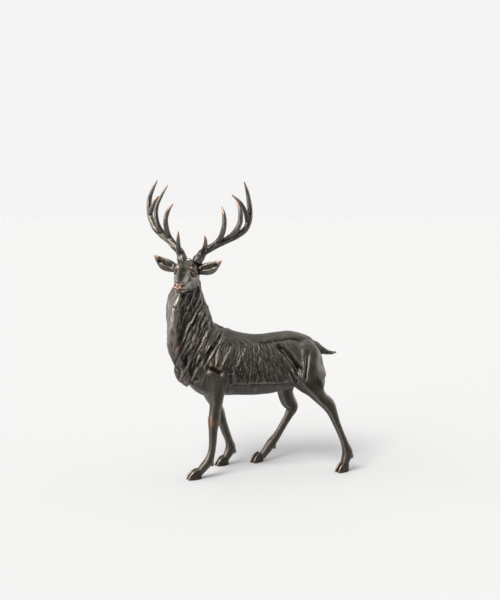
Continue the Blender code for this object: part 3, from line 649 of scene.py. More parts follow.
# The spots of each mark, on the body and on the head, and those of every antler tip: size, strength.
SPOTS = {"rubbed": (RUBBED, RUBBED_HEAD), "pale": (PAINTED_HIGHLIGHTS, PAINTED_HIGHLIGHTS_HEAD), "dark": (PAINTED_SHADE, DARK_HEAD)}
HORN_RUBBED = (9, 0.7)
# Bumps smaller than the least take no colour, and those over the full size take all, in mm. The middling
# ones mark the edges and the grooves by these shares for each millimetre.
FINE_LEAST = 0.06
FINE_FULL = 0.3
MID_LEAST = 0.12
MID_EDGE = 0.9
MID_GROOVE = 1.6
BROAD_FULL = 1.6
# How much darker the limbs are, below which height, and over which height it sets in. Then the share of
# this that the ears take, and how sharply it ends at their roots.
LIMB_DARK = 0.4
LIMB_TOP = 190
LIMB_FADE = 40
EAR_DARK = 0.8
EAR_SHARP = 9
# How strongly each layer of the finish, and of the painted light and shade, covers what is under it.
COVER = {
    "under": 0.7, "proud": 0.5, "dark": 0.92, "sunk": 0.7, "horn": 0.5, "hair": 0.85, "soot": 0.96,
    "edge": 0.55,
}
# The metal's roughness between its stains, and how much rougher the coat and some of the marks are.
ROUGH = (0.23, 0.37)
ROUGHER = {"satin": 0.13, "socket": 0.4, "iris": -0.55}
ROUGH_COAT = 0.1
# Noise in the finish. Columns: scale, detail.
CLOUD = (28.0, 4.0)
STAINS = (90.0, 3.0)
SPECK = (420.0, 2.0)
GRAIN = (1400.0, 2.0)
# Noise drawn out along the hair. Columns: scale, the step along the hair in metres.
WISPS = (230.0, 0.003)
COMBED_HAIR = (520.0, 0.0011)
# The ranges that these noises are read over, and the range of the coat's mark with what it gives.
CLOUD_SPAN = (0.3, 0.7)
SPECK_SPAN = (0.35, 0.65)
WISP_SPAN = (0.43, 0.57)
HAIR_SPAN = (0.44, 0.56)
COAT_SPAN = (0.0, 0.35, 0.1, 1.0)
# Between which ways, from down (-1) to up (1), the painted sheen on what faces up and the painted
# purple-grey floor bounce on the undersides set in.
PAINTED_SHEEN_SPAN = (-0.1, 0.9)
PAINTED_BOUNCE_SPAN = (-0.1, -0.8)
# The bumps of the metal's grain and of its combed hair: strength, and height in metres.
GRAIN_BUMP = (0.22, 0.0004)
COMB_BUMP = (0.3, 0.0007)

# The room that lights the stag, as the greatest of four brightnesses. Columns: the way along which one
# changes, from -1 to 1; then where it starts to change, with its value there, and where it ends.
ROOM = (
    ("Y", (-0.7, 0.07), (0.25, 0.95)),
    ("Z", (0.25, 0.0), (0.9, 0.65)),
    ("X", (-0.9, 4.2), (-0.5, 0.0)),
    ("X", (0.6, 0.0), (0.95, 2.1)),
)
# The large light: its azimuth, elevation and width in degrees, and its colour.
KEY_LIGHT = (-48, 50, 30, (1, 0.99, 0.97))
# The camera: its lens in millimetres, how far it sees in metres, its place, and its turns in degrees.
LENS = 51.0
SIGHT = 200.0
CAMERA_PLACE = (-0.3537, -1.4116, 0.451)
CAMERA_TURNS = (84, 0, -14)
# The floor, round and just under the soles, in metres.
FLOOR_SIZE = 60.0
FLOOR_DROP = 0.0002


def ramp(values, low, high):
    """From 0 at low to 1 at high, and level beyond them."""
    return np.clip((values - low) / (high - low), 0, 1)


def unit(ways):
    """The same ways, each with a length of one."""
    return ways / np.maximum(np.linalg.norm(ways, axis=-1, keepdims=True), TINY)


def read(items, name, columns, kind=float):
    """A property of a mesh's items, as an array with a row for each."""
    values = np.empty(len(items) * columns, kind)
    items.foreach_get(name, values)
    return values.reshape(-1, columns)


def search_tree(places):
    """A search tree over places, numbered in their order."""
    tree = KDTree(len(places))
    for i, place in enumerate(places):
        tree.insert(place, i)
    tree.balance()
    return tree


def link(name, data):
    """A new object in the scene."""
    obj = bpy.data.objects.new(name, data)
    bpy.context.scene.collection.objects.link(obj)
    return obj


def smooth_rows(rows, count):
    """Rows read along a Catmull-Rom curve through the given ones."""
    rows = np.array(rows, float)
    steps = np.linalg.norm(np.diff(rows[:, :3], axis=0), axis=1)
    at = np.concatenate([[0.0], np.cumsum(steps)])
    slopes = np.gradient(rows, at, axis=0)
    made = []
    for s in np.linspace(0, at[-1], count):
        i = min(int(np.searchsorted(at, s, side="right")) - 1, len(rows) - 2)
        i = max(i, 0)
        h = at[i + 1] - at[i]
        t = (s - at[i]) / h
        made.append(
            (2 * t**3 - 3 * t**2 + 1) * rows[i]
            + (t**3 - 2 * t**2 + t) * h * slopes[i]
            + (3 * t**2 - 2 * t**3) * rows[i + 1]
            + (t**3 - t**2) * h * slopes[i + 1]
        )
    return np.array(made)


def ring_shape(angle, egg, front, back):
    """One point of a unit section: egg narrows its +sin side, front and back are superellipse powers."""
    c, s = math.cos(angle), math.sin(angle)
    power = 2.0 / (front if s > 0 else back)
    across = math.copysign(abs(c) ** power, c) * (1 - egg * s)
    along = math.copysign(abs(s) ** power, s)
    return across, along


# The middle line of each mass, with its name, the way it faces and its size.
SPINES = []


def tube(bm, name, rows, across=(0, 1, 0), along=None, egg=0.0, front=2.0, back=2.0, sides=SIDES):
    """A closed tube through rows of x, y, z, half width, half depth and an optional turn.

    Its rings stand square to the tube, or to a fixed direction, which keeps them from crossing in a bend.
    """
    rows = np.array([tuple(row) + (0.0,) * (6 - len(row)) for row in rows], float)
    length = np.linalg.norm(np.diff(rows[:, :3], axis=0), axis=1).sum()
    rows = smooth_rows(rows, max(6, int(length / RING_GAP)))
    rows[:, 3:5] = np.maximum(rows[:, 3:5], LEAST_RADIUS)
    ways = np.gradient(rows[:, :3], axis=0)
    if along is not None:
        ways[:] = along
    rings = []
    frames = []
    for row, way in zip(rows, ways):
        middle, way = Vector(row[:3]), Vector(way).normalized()
        side = Vector(across)
        side = (side - way * side.dot(way)).normalized()
        turn = math.radians(row[5])
        side = side * math.cos(turn) + way.cross(side) * math.sin(turn)
        up = way.cross(side)
        frames.append((*middle, *side, *up, row[3], row[4]))
        ring = []
        for k in range(sides):
            u, v = ring_shape(2 * math.pi * k / sides, egg, front, back)
            ring.append(bm.verts.new(middle + side * (u * row[3]) + up * (v * row[4])))
        rings.append(ring)
    SPINES.append((name, np.array(frames)))
    for low, high in zip(rings, rings[1:]):
        for k in range(sides):
            j = (k + 1) % sides
            bm.faces.new((low[k], low[j], high[j], high[k]))
    for ring, way, row in ((rings[0], -ways[0], rows[0]), (rings[-1], ways[-1], rows[-1])):
        bulge = min(row[3], row[4]) * END_BULGE
        tip = bm.verts.new(Vector(row[:3]) + Vector(way).normalized() * bulge)
        for k in range(sides):
            bm.faces.new((ring[k], ring[(k + 1) % sides], tip))


def head_point(ahead, out, above):
    """A point of the head: ahead of the poll, out to the stag's right, and above."""
    yaw = math.radians(HEAD_YAW)
    roll = math.radians(HEAD_ROLL)
    forward = Vector((-math.cos(yaw), -math.sin(yaw), 0))
    level = Vector((-math.sin(yaw), math.cos(yaw), 0))
    plumb = Vector((0, 0, 1))
    right = level * math.cos(roll) + plumb * math.sin(roll)
    up = plumb * math.cos(roll) - level * math.sin(roll)
    return POLL + forward * ahead + right * out + up * above


def profile(rows):
    """Rows of a tube from its top and bottom, for one that lies level along its first column."""
    return [(at, 0, (top + low) / 2, wide, (top - low) / 2) for at, top, low, wide in rows]


def head_tube(bm, name, rows, across=(1, 0, 0), **shape):
    """A tube through rows of ahead, out, above, half width and half depth, measured from the poll."""
    rows = [(*head_point(*row[:3]), *row[3:]) for row in rows]
    tube(bm, name, rows, across=head_point(*across) - POLL, **shape)


def hoof(bm, x, y, turn):
    """A hoof with two claws."""
    turn = math.radians(turn)
    forward = Vector((-math.cos(turn), -math.sin(turn), 0))
    side = Vector((-forward.y, forward.x, 0))
    for out in (-CLAW_OUT, CLAW_OUT):
        rows = []
        for ahead, z, wide, long in CLAW:
            rows.append((*(Vector((x, y, z)) + forward * ahead + side * out), wide, long))
        tube(bm, "hoof", rows, across=side, sides=CLAW_SIDES)


def leg(bm, rows):
    """A leg down to the pastern, with its two dewclaws."""
    tube(bm, "leg", rows, front=2.5, back=2.5)
    x, y, z, _, deep = rows[FETLOCK]
    for out in (-DEWCLAW_OUT, DEWCLAW_OUT):
        claw = [(x + deep + back, y + out, z + up, radius, radius) for up, back, radius in DEWCLAW]
        tube(bm, "leg", claw, sides=DEWCLAW_SIDES)


def rough_stag():
    """The masses of the stag, overlapping, in one mesh."""
    bm = bmesh.new()
    tube(bm, "trunk", profile(TRUNK), along=(1, 0, 0), egg=0.2, back=2.3)
    tube(bm, "neck", NECK, egg=0.15, front=1.5, back=2.1)
    tube(bm, "tail", TAIL)
    for rows in (FORE_LEFT, FORE_RIGHT, HIND_LEFT, HIND_RIGHT):
        leg(bm, rows)
    for place in HOOVES:
        hoof(bm, *place)
    head_tube(bm, "head", profile(SKULL), across=(0, -1, 0), front=2.4, back=2.2)
    head_tube(bm, "head", [(ahead, out, above, wide, wide) for out, above, ahead, wide in EAR_ROOTS])
    for side, antler in ((-1, LEFT_ANTLER), (1, RIGHT_ANTLER)):
        rows = [(ahead, out * side + EAR_SHIFT, above, deep, wide) for out, above, ahead, wide, deep in EAR]
        head_tube(bm, "ear", rows, sides=EAR_SIDES)
        for horn in antler:
            rows = [(-behind, out * side, above, wide, wide) for out, above, behind, wide in horn]
            head_tube(bm, "antler", rows, sides=HORN_SIDES)
    bmesh.ops.recalc_face_normals(bm, faces=bm.faces)
    mesh = bpy.data.meshes.new("stag_casting")
    bm.to_mesh(mesh)
    bm.free()
    return link("stag_casting", mesh)


def apply_modifiers(obj):
    """The object's mesh as its modifiers leave it."""
    bpy.context.view_layer.update()
    shaped = obj.evaluated_get(bpy.context.evaluated_depsgraph_get())
    mesh = bpy.data.meshes.new_from_object(shaped)
    obj.modifiers.clear()
    obj.data = mesh


def fuse(obj, voxel):
    """Joins the masses into one skin."""
    remesh = obj.modifiers.new("fuse", "REMESH")
    remesh.mode = "VOXEL"
    remesh.voxel_size = voxel
    apply_modifiers(obj)


class Skin:
    """The fused surface as arrays, for carving."""

    def __init__(self, mesh):
        self.mesh = mesh
        self.co = read(mesh.vertices, "co", 3)
        ends = read(mesh.edges, "vertices", 2, np.int32)
        near = np.concatenate([ends, ends[:, ::-1]])
        near = near[np.argsort(near[:, 0], kind="stable")]
        self.near = near[:, 1]
        self.starts = np.searchsorted(near[:, 0], np.arange(len(self.co)))
        self.counts = np.diff(np.append(self.starts, len(near)))
        self.store()

    def store(self):
        """Writes the places back and reads the normals."""
        self.mesh.vertices.foreach_set("co", self.co.ravel())
        self.mesh.update()
        self.normals = read(self.mesh.vertices, "normal", 3)

    def spread(self, values, rounds=1):
        """The mean of each vertex's neighbours, taken once or round after round."""
        for _ in range(rounds):
            total = np.add.reduceat(values[self.near], self.starts, axis=0)
            values = total / self.counts.reshape((-1,) + (1,) * (values.ndim - 1))
        return values

    def relax(self, weight, rounds):
        """Moves each place towards its neighbours' mean, by half of its weight in each round."""
        for _ in range(rounds):
            self.co += (self.spread(self.co) - self.co) * weight[:, None] * 0.5

    def bumps(self, rounds):
        """How far each place stands out from its smoothed surroundings."""
        return ((self.co - self.spread(self.co, rounds)) * self.normals).sum(axis=1)


def in_tube(co, frames):
    """For each place, the nearest row of a tube, and how far across and along its section the place is."""
    gaps = (frames[:, :3] ** 2).sum(axis=1) - 2 * (co @ frames[:, :3].T)
    row = gaps.argmin(axis=1)
    near = frames[row]
    away = co - near[:, :3]
    u = (away * near[:, 3:6]).sum(axis=1) / near[:, 9]
    v = (away * near[:, 6:9]).sum(axis=1) / near[:, 10]
    return row, near, away, u, v


def tube_depth(co, frames):
    """How far out each place is in a tube, with 1 at its skin."""
    _, near, away, u, v = in_tube(co, frames)
    ends = np.linalg.norm(away, axis=1) / np.maximum(near[:, 9], near[:, 10])
    return np.maximum(np.hypot(u, v), ends * END_DEPTH)


def parts_of(co):
    """Soft shares of each named part at each place."""
    depth = {}
    for name, frames in SPINES:
        out = tube_depth(co, frames)
        depth[name] = np.minimum(depth[name], out) if name in depth else out
    least = np.min(list(depth.values()), axis=0)
    shares = {name: np.exp(-(((out - least) / PART_BLEND) ** 2)) for name, out in depth.items()}
    total = sum(shares.values())
    return {name: share / total for name, share in shares.items()}


def around_tube(co, name, least_length):
    """For each place, the closest named tube's way, how far round it, its radius, and rows to its end."""
    best = np.full(len(co), np.inf)
    found = np.zeros((len(co), 7))
    for part, frames in SPINES:
        if part != name or np.linalg.norm(frames[-1, :3] - frames[0, :3]) < least_length:
            continue
        row, near, _, u, v = in_tube(co, frames)
        out = np.hypot(u, v)
        ways = np.cross(near[:, 3:6], near[:, 6:9])
        radius = (near[:, 9] + near[:, 10]) / 2
        rows = np.column_stack([ways, np.arctan2(v, u), radius, len(frames) - row, row])
        closer = out < best
        best[closer] = out[closer]
        found[closer] = rows[closer]
    return found[:, :3], found[:, 3], found[:, 4], found[:, 5], found[:, 6]


def trace(points):
    """A smooth line through points, as places with an even gap between them."""
    points = np.array(points, float)
    length = np.linalg.norm(np.diff(points, axis=0), axis=1).sum()
    return smooth_rows(points, max(4, int(length / TRACE_GAP)))


def near_line(skin, tree, line, reach):
    """Vertices near a line, how far along it they are from 0 to 1, and how far from it."""
    line = np.asarray(line, float)
    runs = np.diff(line, axis=0)
    step = max(np.linalg.norm(runs, axis=1).mean(), LEAST_STEP)
    skip = max(1, int(reach / step))
    wide = math.hypot(reach, skip * step / 2) + BENT
    found = set()
    for place in (*line[::skip], line[-1]):
        found.update(i for _, i, _ in tree.find_range(place, wide))
    at = np.array(sorted(found), int)
    away = skin.co[at][:, None] - line[None, :-1]
    share = np.clip((away * runs).sum(axis=2) / np.maximum((runs**2).sum(axis=1), TINY), 0, 1)
    gaps = np.linalg.norm(away - share[..., None] * runs, axis=2)
    k = gaps.argmin(axis=1)
    rows = np.arange(len(at))
    along = (k + share[rows, k]) / len(runs)
    keep = gaps[rows, k] < reach
    return at[keep], along[keep], gaps[rows, k][keep]


def settle(tree, points):
    """The line with each point moved to the nearest vertex, and evened out."""
    line = np.array([tree.find(point)[0] for point in trace(points)])
    for _ in range(3):
        line[1:-1] = (line[:-2] + 2 * line[1:-1] + line[2:]) / 4
    return line


def crease(skin, tree, push, points, height, width):
    """Adds a groove or a ridge along a line to the push of each vertex."""
    line = settle(tree, points)
    at, along, gap = near_line(skin, tree, line, width * CREASE_REACH)
    fade = np.clip(np.minimum(along, 1 - along) * CREASE_ENDS, 0, 1) ** CREASE_ROUND
    push[at] += height * fade * np.exp(-((gap / width) ** 2))


def neck_at(z):
    """The neck's middle in x and y at a height, and its front's turn from -X towards -Y in degrees."""
    rows = np.array(NECK)
    return [np.interp(z, rows[:, 2], rows[:, k]) for k in (0, 1, 5)]


def off_keel(co):
    """How far round the neck each place is from the keel of the mane, in degrees."""
    x, y, facing = neck_at(co[:, 2])
    off = np.degrees(np.arctan2(y - co[:, 1], x - co[:, 0])) - facing
    return (off + 180) % 360 - 180


def on_flank(bvh, x, z, side):
    """The outermost place of the body at x and z: side 1 is the stag's left, and -1 its right."""
    return bvh.ray_cast(Vector((x, -OUTSIDE * side, z)), Vector((0, side, 0)))[0]


def lock_line(bvh, start, length, side, lean):
    """A line that runs down over the surface and leans towards the keel."""
    line = [np.array(start)]
    for _ in range(LOCK_STEPS):
        place, normal, _, _ = bvh.find_nearest(Vector(line[-1]))
        around = normal.cross(Vector((0, 0, 1))) * side
        if around.length > LEAST_STEP:
            around.normalize()
        way = Vector((0, 0, -1)) * math.cos(lean) + around * math.sin(lean)
        way -= normal * way.dot(normal)
        way.normalize()
        place, _, _, _ = bvh.find_nearest(place + way * (length / LOCK_STEPS))
        line.append(np.array(place))
    return np.array(line)


def lock(skin, tree, raised, line, height, width):
    """Raises one pointed lock of hair with two flat faces and a sharp crest along its line."""
    line = trace(line)
    at, along, gap = near_line(skin, tree, line, width * LOCK_REACH)
    wide, swell, narrow = LOCK_OUTLINE
    reach = width * wide * along**swell * (1 - along) ** narrow + LEAST_STEP
    crest = np.clip(1 - gap / reach, 0, 1)
    tip = np.sqrt(np.clip((1 - along) * LOCK_TIP, 0, 1))
    rise = height * (LOCK_ROOT + (1 - LOCK_ROOT) * along) * tip
    raised[at] = np.maximum(raised[at], rise * crest)


def mane_locks(rng, bvh):
    """Lines, heights and widths of the locks round the neck and over the shoulders."""
    for row in range(LOCK_ROWS):
        z = LOCK_TOP - row * LOCK_DROP
        for k in range(LOCKS_ROUND):
            off = (k + 0.5 * (row % 2) + 0.25) * 360 / LOCKS_ROUND + rng.uniform(-1, 1) * LOCK_STRAY[0]
            off = (off + 180) % 360 - 180
            height = z + rng.uniform(-1, 1) * LOCK_STRAY[1]
            x, y, facing = neck_at(height)
            angle = math.radians(facing + off)
            way = Vector((-math.cos(angle), -math.sin(angle), 0))
            start, _, _, _ = bvh.ray_cast(Vector((x, y, height)) + way * OUTSIDE, -way)
            if start is None or start.z > LOCK_TOP + LOCK_STRAY[1]:
                continue
            lean = math.radians(LOCK_LEAN * min(1, abs(off) / LOCK_TURN))
            line = lock_line(bvh, start, rng.uniform(*LOCK_LENGTH), 1 if off > 0 else -1, lean)
            yield line, rng.uniform(*LOCK_HEIGHT), rng.uniform(*LOCK_WIDTH)
    for side in (1, -1):
        for x, z in SHOULDER_LOCKS:
            dx, dz = rng.uniform(-SHOULDER_STRAY, SHOULDER_STRAY, 2)
            start = on_flank(bvh, x + dx, z + dz, side)
            line = lock_line(bvh, start, rng.uniform(*LOCK_LENGTH), side, math.radians(LOCK_LEAN))
            yield line, rng.uniform(*LOCK_HEIGHT) * SHOULDER_SHARE, rng.uniform(*LOCK_WIDTH)


def dome(share):
    """The height of a ball at a share of its radius from its middle."""
    return math.sqrt(max(0.0, 1 - share**2))


def face(skin, tree, push):
    """The brows, lids, nose and mouth, the ears' hollows and ribs, and the eyes in their sockets."""
    for side in (-1, 1):
        for shift, rows in ((0, FACE), (EAR_SHIFT, EAR_LINES)):
            for height, width, points in rows:
                places = [head_point(ahead, out * side + shift, above) for ahead, out, above in points]
                crease(skin, tree, push, places, height, width)
        ahead, out, above = EYE
        middle = tree.find(head_point(ahead, out * side, above))[0]
        for _, i, gap in tree.find_range(middle, SOCKET_REACH):
            push[i] += EYE_RISE * dome(gap / EYE_SIZE) + BALL_RISE * dome(gap / SOCKET_SIZE)
            push[i] -= SOCKET_DEPTH * math.exp(-(((gap - SOCKET_SIZE) / SOCKET_EDGE) ** 2))


def scatter(rng, room, count):
    """Places spread evenly but not in rows over a rectangle; gaps in height count half."""
    (left, right), (low, high) = room
    places = []
    for _ in range(count):
        tries = [(rng.uniform(left, right), rng.uniform(low, high)) for _ in range(STROKE_TRIES)]
        gaps = [min((math.hypot(x - a, (z - b) * 0.5) for a, b in places), default=1) for x, z in tries]
        places.append(tries[int(np.argmax(gaps))])
    return places


def flank_strokes(skin, tree, bvh, push, rng):
    """Short strokes of hair down the flanks."""
    for side in (1, -1):
        for x, z in scatter(rng, STROKE_ROOM, STROKES):
            slant = np.interp(x, STROKE_ROOM[0], STROKE_SLANT)
            length = rng.uniform(*STROKE_LENGTH)
            drops = [length * share for share in STROKE_POINTS]
            points = [on_flank(bvh, x + slant * drop, z - drop, side) for drop in drops]
            crease(skin, tree, push, points, *STROKE)


def blend_joins(skin, parts):
    """Smooths the body where one mass runs into another, such as a shoulder into the trunk."""
    thigh = ramp(skin.co[:, 2], THIGH_LOW, THIGH_LOW + THIGH_FADE)
    body = np.clip(parts["trunk"] + parts["neck"] * NECK_JOIN + parts["leg"] * thigh, 0, 1)
    mixed = 1 - np.max(list(parts.values()), axis=0)
    for _ in range(JOIN_SPREAD):
        mixed = np.maximum(mixed, skin.spread(mixed))
    skin.relax(np.clip(mixed * JOIN_GAIN, 0, 1) * body, JOIN_ROUNDS)
    skin.relax(body, BODY_ROUNDS)
    skin.store()


def above_hem(co):
    """How far each place is above the lower edge of the coat."""
    return co[:, 2] - np.interp(co[:, 0], *np.array(HEM).T)


def hem_depth(co):
    """How far the belly is set back below the lower edge of the coat."""
    below = -above_hem(co)
    ends = np.clip(np.minimum(co[:, 0] - HEM[0][0], HEM[-1][0] - co[:, 0]) / HEM_ENDS, 0, 1)
    return HEM_STEP * ends * np.clip(below / HEM_SHARP + 0.5, 0, 1) * np.clip(1 - below / HEM_FALL, 0, 1)


def trim(obj, triangles):
    """Thins the mesh and cuts the soles flat on the floor."""
    thin = obj.modifiers.new("thin", "DECIMATE")
    thin.ratio = triangles / (2 * len(obj.data.polygons))
    thin.use_collapse_triangulate = True
    apply_modifiers(obj)
    bm = bmesh.new()
    bm.from_mesh(obj.data)
    every = bm.verts[:] + bm.edges[:] + bm.faces[:]
    cut = bmesh.ops.bisect_plane(
        bm, geom=every, dist=SAME_PLACE, plane_co=(0, 0, 0), plane_no=(0, 0, 1), clear_inner=True
    )
    rim = [part for part in cut["geom_cut"] if isinstance(part, bmesh.types.BMEdge)]
    bmesh.ops.holes_fill(bm, edges=rim, sides=0)
    for vert in bm.verts:
        if abs(vert.co.z) < FLOOR_NEAR:
            vert.co.z = 0
    bmesh.ops.triangulate(bm, faces=bm.faces)
    bmesh.ops.remove_doubles(bm, verts=bm.verts, dist=SAME_PLACE)
    bmesh.ops.dissolve_degenerate(bm, edges=bm.edges, dist=SAME_PLACE)
    bmesh.ops.triangulate(bm, faces=bm.faces)
    bmesh.ops.recalc_face_normals(bm, faces=bm.faces)
    bm.to_mesh(obj.data)
    bm.free()


def flat_faces(turn, faces):
    """How far a round section is cut back, as a share of its radius, to leave flat faces."""
    step = 2 * math.pi / faces
    off = (turn % step) - step / 2
    return 1 - math.cos(step / 2) / np.cos(off)


def hair_ways(skin, parts):
    """The way the hair lies at each vertex, along the surface."""
    co = skin.co
    run = np.interp(co[:, 0], *np.array(HAIR_SLANT).T)
    trunk = unit(np.stack([run, np.zeros(len(co)), -np.ones(len(co))], axis=1))
    top = (ramp(co[:, 2], *HAIR_TOP) * parts["trunk"])[:, None]
    trunk = trunk * (1 - top) + unit(np.array(BACK_WAY)) * top
    off = off_keel(co)
    lean = np.radians(LOCK_LEAN) * np.clip(np.abs(off) / LOCK_TURN, 0, 1)[:, None]
    around = unit(np.cross(skin.normals, (0.0, 0.0, 1.0)) * np.sign(off)[:, None])
    neck = np.cos(lean) * np.array((0, 0, -1.0)) + around * np.sin(lean)
    head = head_point(*HEAD_WAY) - POLL
    horns = around_tube(co, "antler", 0)[0] * 2
    lies = {"trunk": trunk, "neck": neck, "leg": LEG_WAY, "tail": TAIL_WAY, "head": head, "antler": horns}
    ways = sum(np.array(way) * parts[name][:, None] for name, way in lies.items())
    ways -= skin.normals * (ways * skin.normals).sum(axis=1)[:, None]
    return unit(ways)


def neck_share(co):
    """How much of its height a lock keeps round the neck, with the flat front of the mane left low."""
    share = np.interp(off_keel(co), *np.array(FRONT_SHARE).T)
    return 1 - (1 - share) * ramp(co[:, 2], *FRONT_HEIGHTS)


def coat_share(skin, parts):
    """How deeply the hair is cut at each vertex, from none to all."""
    x, _, z = skin.co.T
    body = np.clip(above_hem(skin.co) / HEM_HAIR, 0, 1) * (1 - BACK_BARE * ramp(z, *BACK_HEIGHTS))
    body *= np.interp(x, *np.array(FLANK_HAIR).T)
    neck = ramp(z, *NECK_HEIGHTS) * np.clip(neck_share(skin.co), NECK_LEAST, 1)
    places = {"trunk": body, "neck": neck, "tail": 1.0}
    return np.clip(sum(COAT[name] * parts[name] * share for name, share in places.items()), 0, 1)


def hair_line(tree, ways, place, length, rng):
    """A wavering line along the hair from a place."""
    wave = rng.uniform(0, 2 * math.pi)
    line = [place]
    for k in range(int(length / HAIR_STEP)):
        near, i, _ = tree.find(line[-1])
        way = ways[i]
        turn = math.radians(HAIR_WAVER) * math.sin(wave + k * HAIR_WAVE)
        side = np.array((way[2], 0, -way[0]))
        step = way * math.cos(turn) + side * math.sin(turn)
        line.append(np.array(near) + step * HAIR_STEP)
    return np.array(line)


def engrave_hair(skin, tree, push, ways, share, rng):
    """Cuts wavering strokes of hair all over the coat, side by side."""
    root, tip, swell = HAIR_TAPER
    taken = share < HAIR_LEAST
    for i in rng.permutation(len(skin.co)):
        if taken[i]:
            continue
        line = hair_line(tree, ways, skin.co[i], rng.uniform(*HAIR_LENGTH), rng)
        at, along, gap = near_line(skin, tree, line, HAIR_GAP)
        taken[at] = True
        taken[i] = True
        width = rng.uniform(*HAIR_WIDTH)
        depth = rng.uniform(*HAIR_DEPTH)
        taper = np.clip(np.minimum(along * root, (1 - along) * tip), 0, 1) ** swell
        push[at] -= depth * taper * share[at] * np.exp(-((gap / width) ** 2))


def lock_hairs(skin, tree, push, line, width):
    """Cuts fine hairs along a lock."""
    line = trace(line)
    run = unit(np.gradient(line, axis=0))
    normals = np.array([skin.normals[tree.find(place)[1]] for place in line])
    side = unit(np.cross(normals, run))
    along = np.linspace(0, 1, len(line))
    spread = LOCK_ENDS + along * (1 - along) * LOCK_MIDDLE
    for off, depth, wide in LOCK_HAIRS:
        shifted = line + side * (off * width * spread)[:, None]
        at, along, gap = near_line(skin, tree, shifted, wide * CREASE_REACH)
        taper = np.clip(np.minimum(along, 1 - along) * LOCK_FADE, 0, 1)
        push[at] += depth * taper * np.exp(-((gap / wide) ** 2))


def horn_grooves(skin, push, parts):
    """Cuts lengthwise flats and grooves round the antlers, fading at their tips."""
    on = np.nonzero(parts["antler"] > CUT_FROM)[0]
    _, turn, radius, left, row = around_tube(skin.co[on], "antler", 0)
    fade = np.clip(left / HORN_TIP, 0, 1) * parts["antler"][on]
    far, fast, twist = HORN_WAVER
    waver = far * np.sin(row * fast) + twist * row
    wave = np.abs(np.sin((turn * HORN_GROOVES + 3 * waver) / 2)) ** HORN_ROUND - HORN_EVEN
    flats = flat_faces(turn + waver, HORN_FACES) * radius
    cut = np.zeros(len(push))
    cut[on] = (wave * HORN_DEPTH - flats * HORN_FLAT) * fade
    push += skin.spread(cut, HORN_SOFT)


def leg_faces(skin, push, parts):
    """Cuts the round legs back to long flat faces."""
    on = np.nonzero((parts["leg"] > CUT_FROM) & (skin.co[:, 2] < LEG_TOP))[0]
    z = skin.co[on, 2]
    _, turn, radius, _, _ = around_tube(skin.co[on], "leg", LEG_LEAST)
    fade = ramp(z, *LEG_FOOT) * np.clip((LEG_TOP - z) / LEG_FADE, 0, 1) * parts["leg"][on]
    cut = np.zeros(len(push))
    cut[on] = (flat_faces(turn, LEG_FACES) - LEG_EVEN) * radius * LEG_FLAT * fade
    push -= skin.spread(cut, LEG_SOFT)


def chisel(skin, parts, rng):
    """How far each place moves when the skin is cut into long flat faces that touch it at their middles."""
    flat = skin.co * np.array((1.0, 1.0, 1.0 / CHISEL_LONG))
    tree = search_tree(flat)
    gap, gain = (sum(parts[name] * row[k] for name, row in CHISELS.items()) for k in (0, 1))
    gain = gain * (1 - parts["trunk"] * ramp(skin.co[:, 2], *CHISEL_BACK))
    taken = gap < CHISEL_LEAST
    middles = []
    for i in rng.permutation(len(flat)):
        if not taken[i]:
            middles.append(i)
            taken[[j for _, j, _ in tree.find_range(flat[i], gap[i])]] = True
    middles = np.array(middles)
    seeds = search_tree(flat[middles])
    near = np.array([[(k, away) for _, k, away in seeds.find_n(place, CHISEL_NEAR)] for place in flat])
    at = middles[near[:, :, 0].astype(int)]
    away = near[:, :, 1]
    normals = unit(skin.spread(skin.normals, CHISEL_ROUNDS))[at]
    soft = np.maximum(gap, CHISEL_LEAST)[:, None] * CHISEL_SOFT
    weights = np.exp(-(away**2 - away[:, :1] ** 2) / (2 * soft**2))
    weights *= (skin.normals[:, None] * normals).sum(axis=2) > CHISEL_FACING
    rise = ((skin.co[at] - skin.co[:, None]) * normals).sum(axis=2)
    rise = (rise * weights).sum(axis=1) / np.maximum(weights.sum(axis=1), LEAST_WEIGHT)
    return np.clip(rise * gain, -CHISEL_MOST, CHISEL_MOST) * np.clip(gap / CHISEL_LEAST - CHISEL_EASE, 0, 1)


def lock_share(skin, parts):
    """How much of its height each lock keeps: less on the flat front of the mane and over the fore legs."""
    x, _, z = skin.co.T
    rear = ramp(x, *SHOULDER_REAR) * (1 - ramp(z, *SHOULDER_HEIGHTS))
    share = neck_share(skin.co) * (1 - rear) * ramp(z, MANE_LOW, MANE_LOW + MANE_FADE)
    return share * np.clip(1 - parts["head"] * 3, 0, 1)


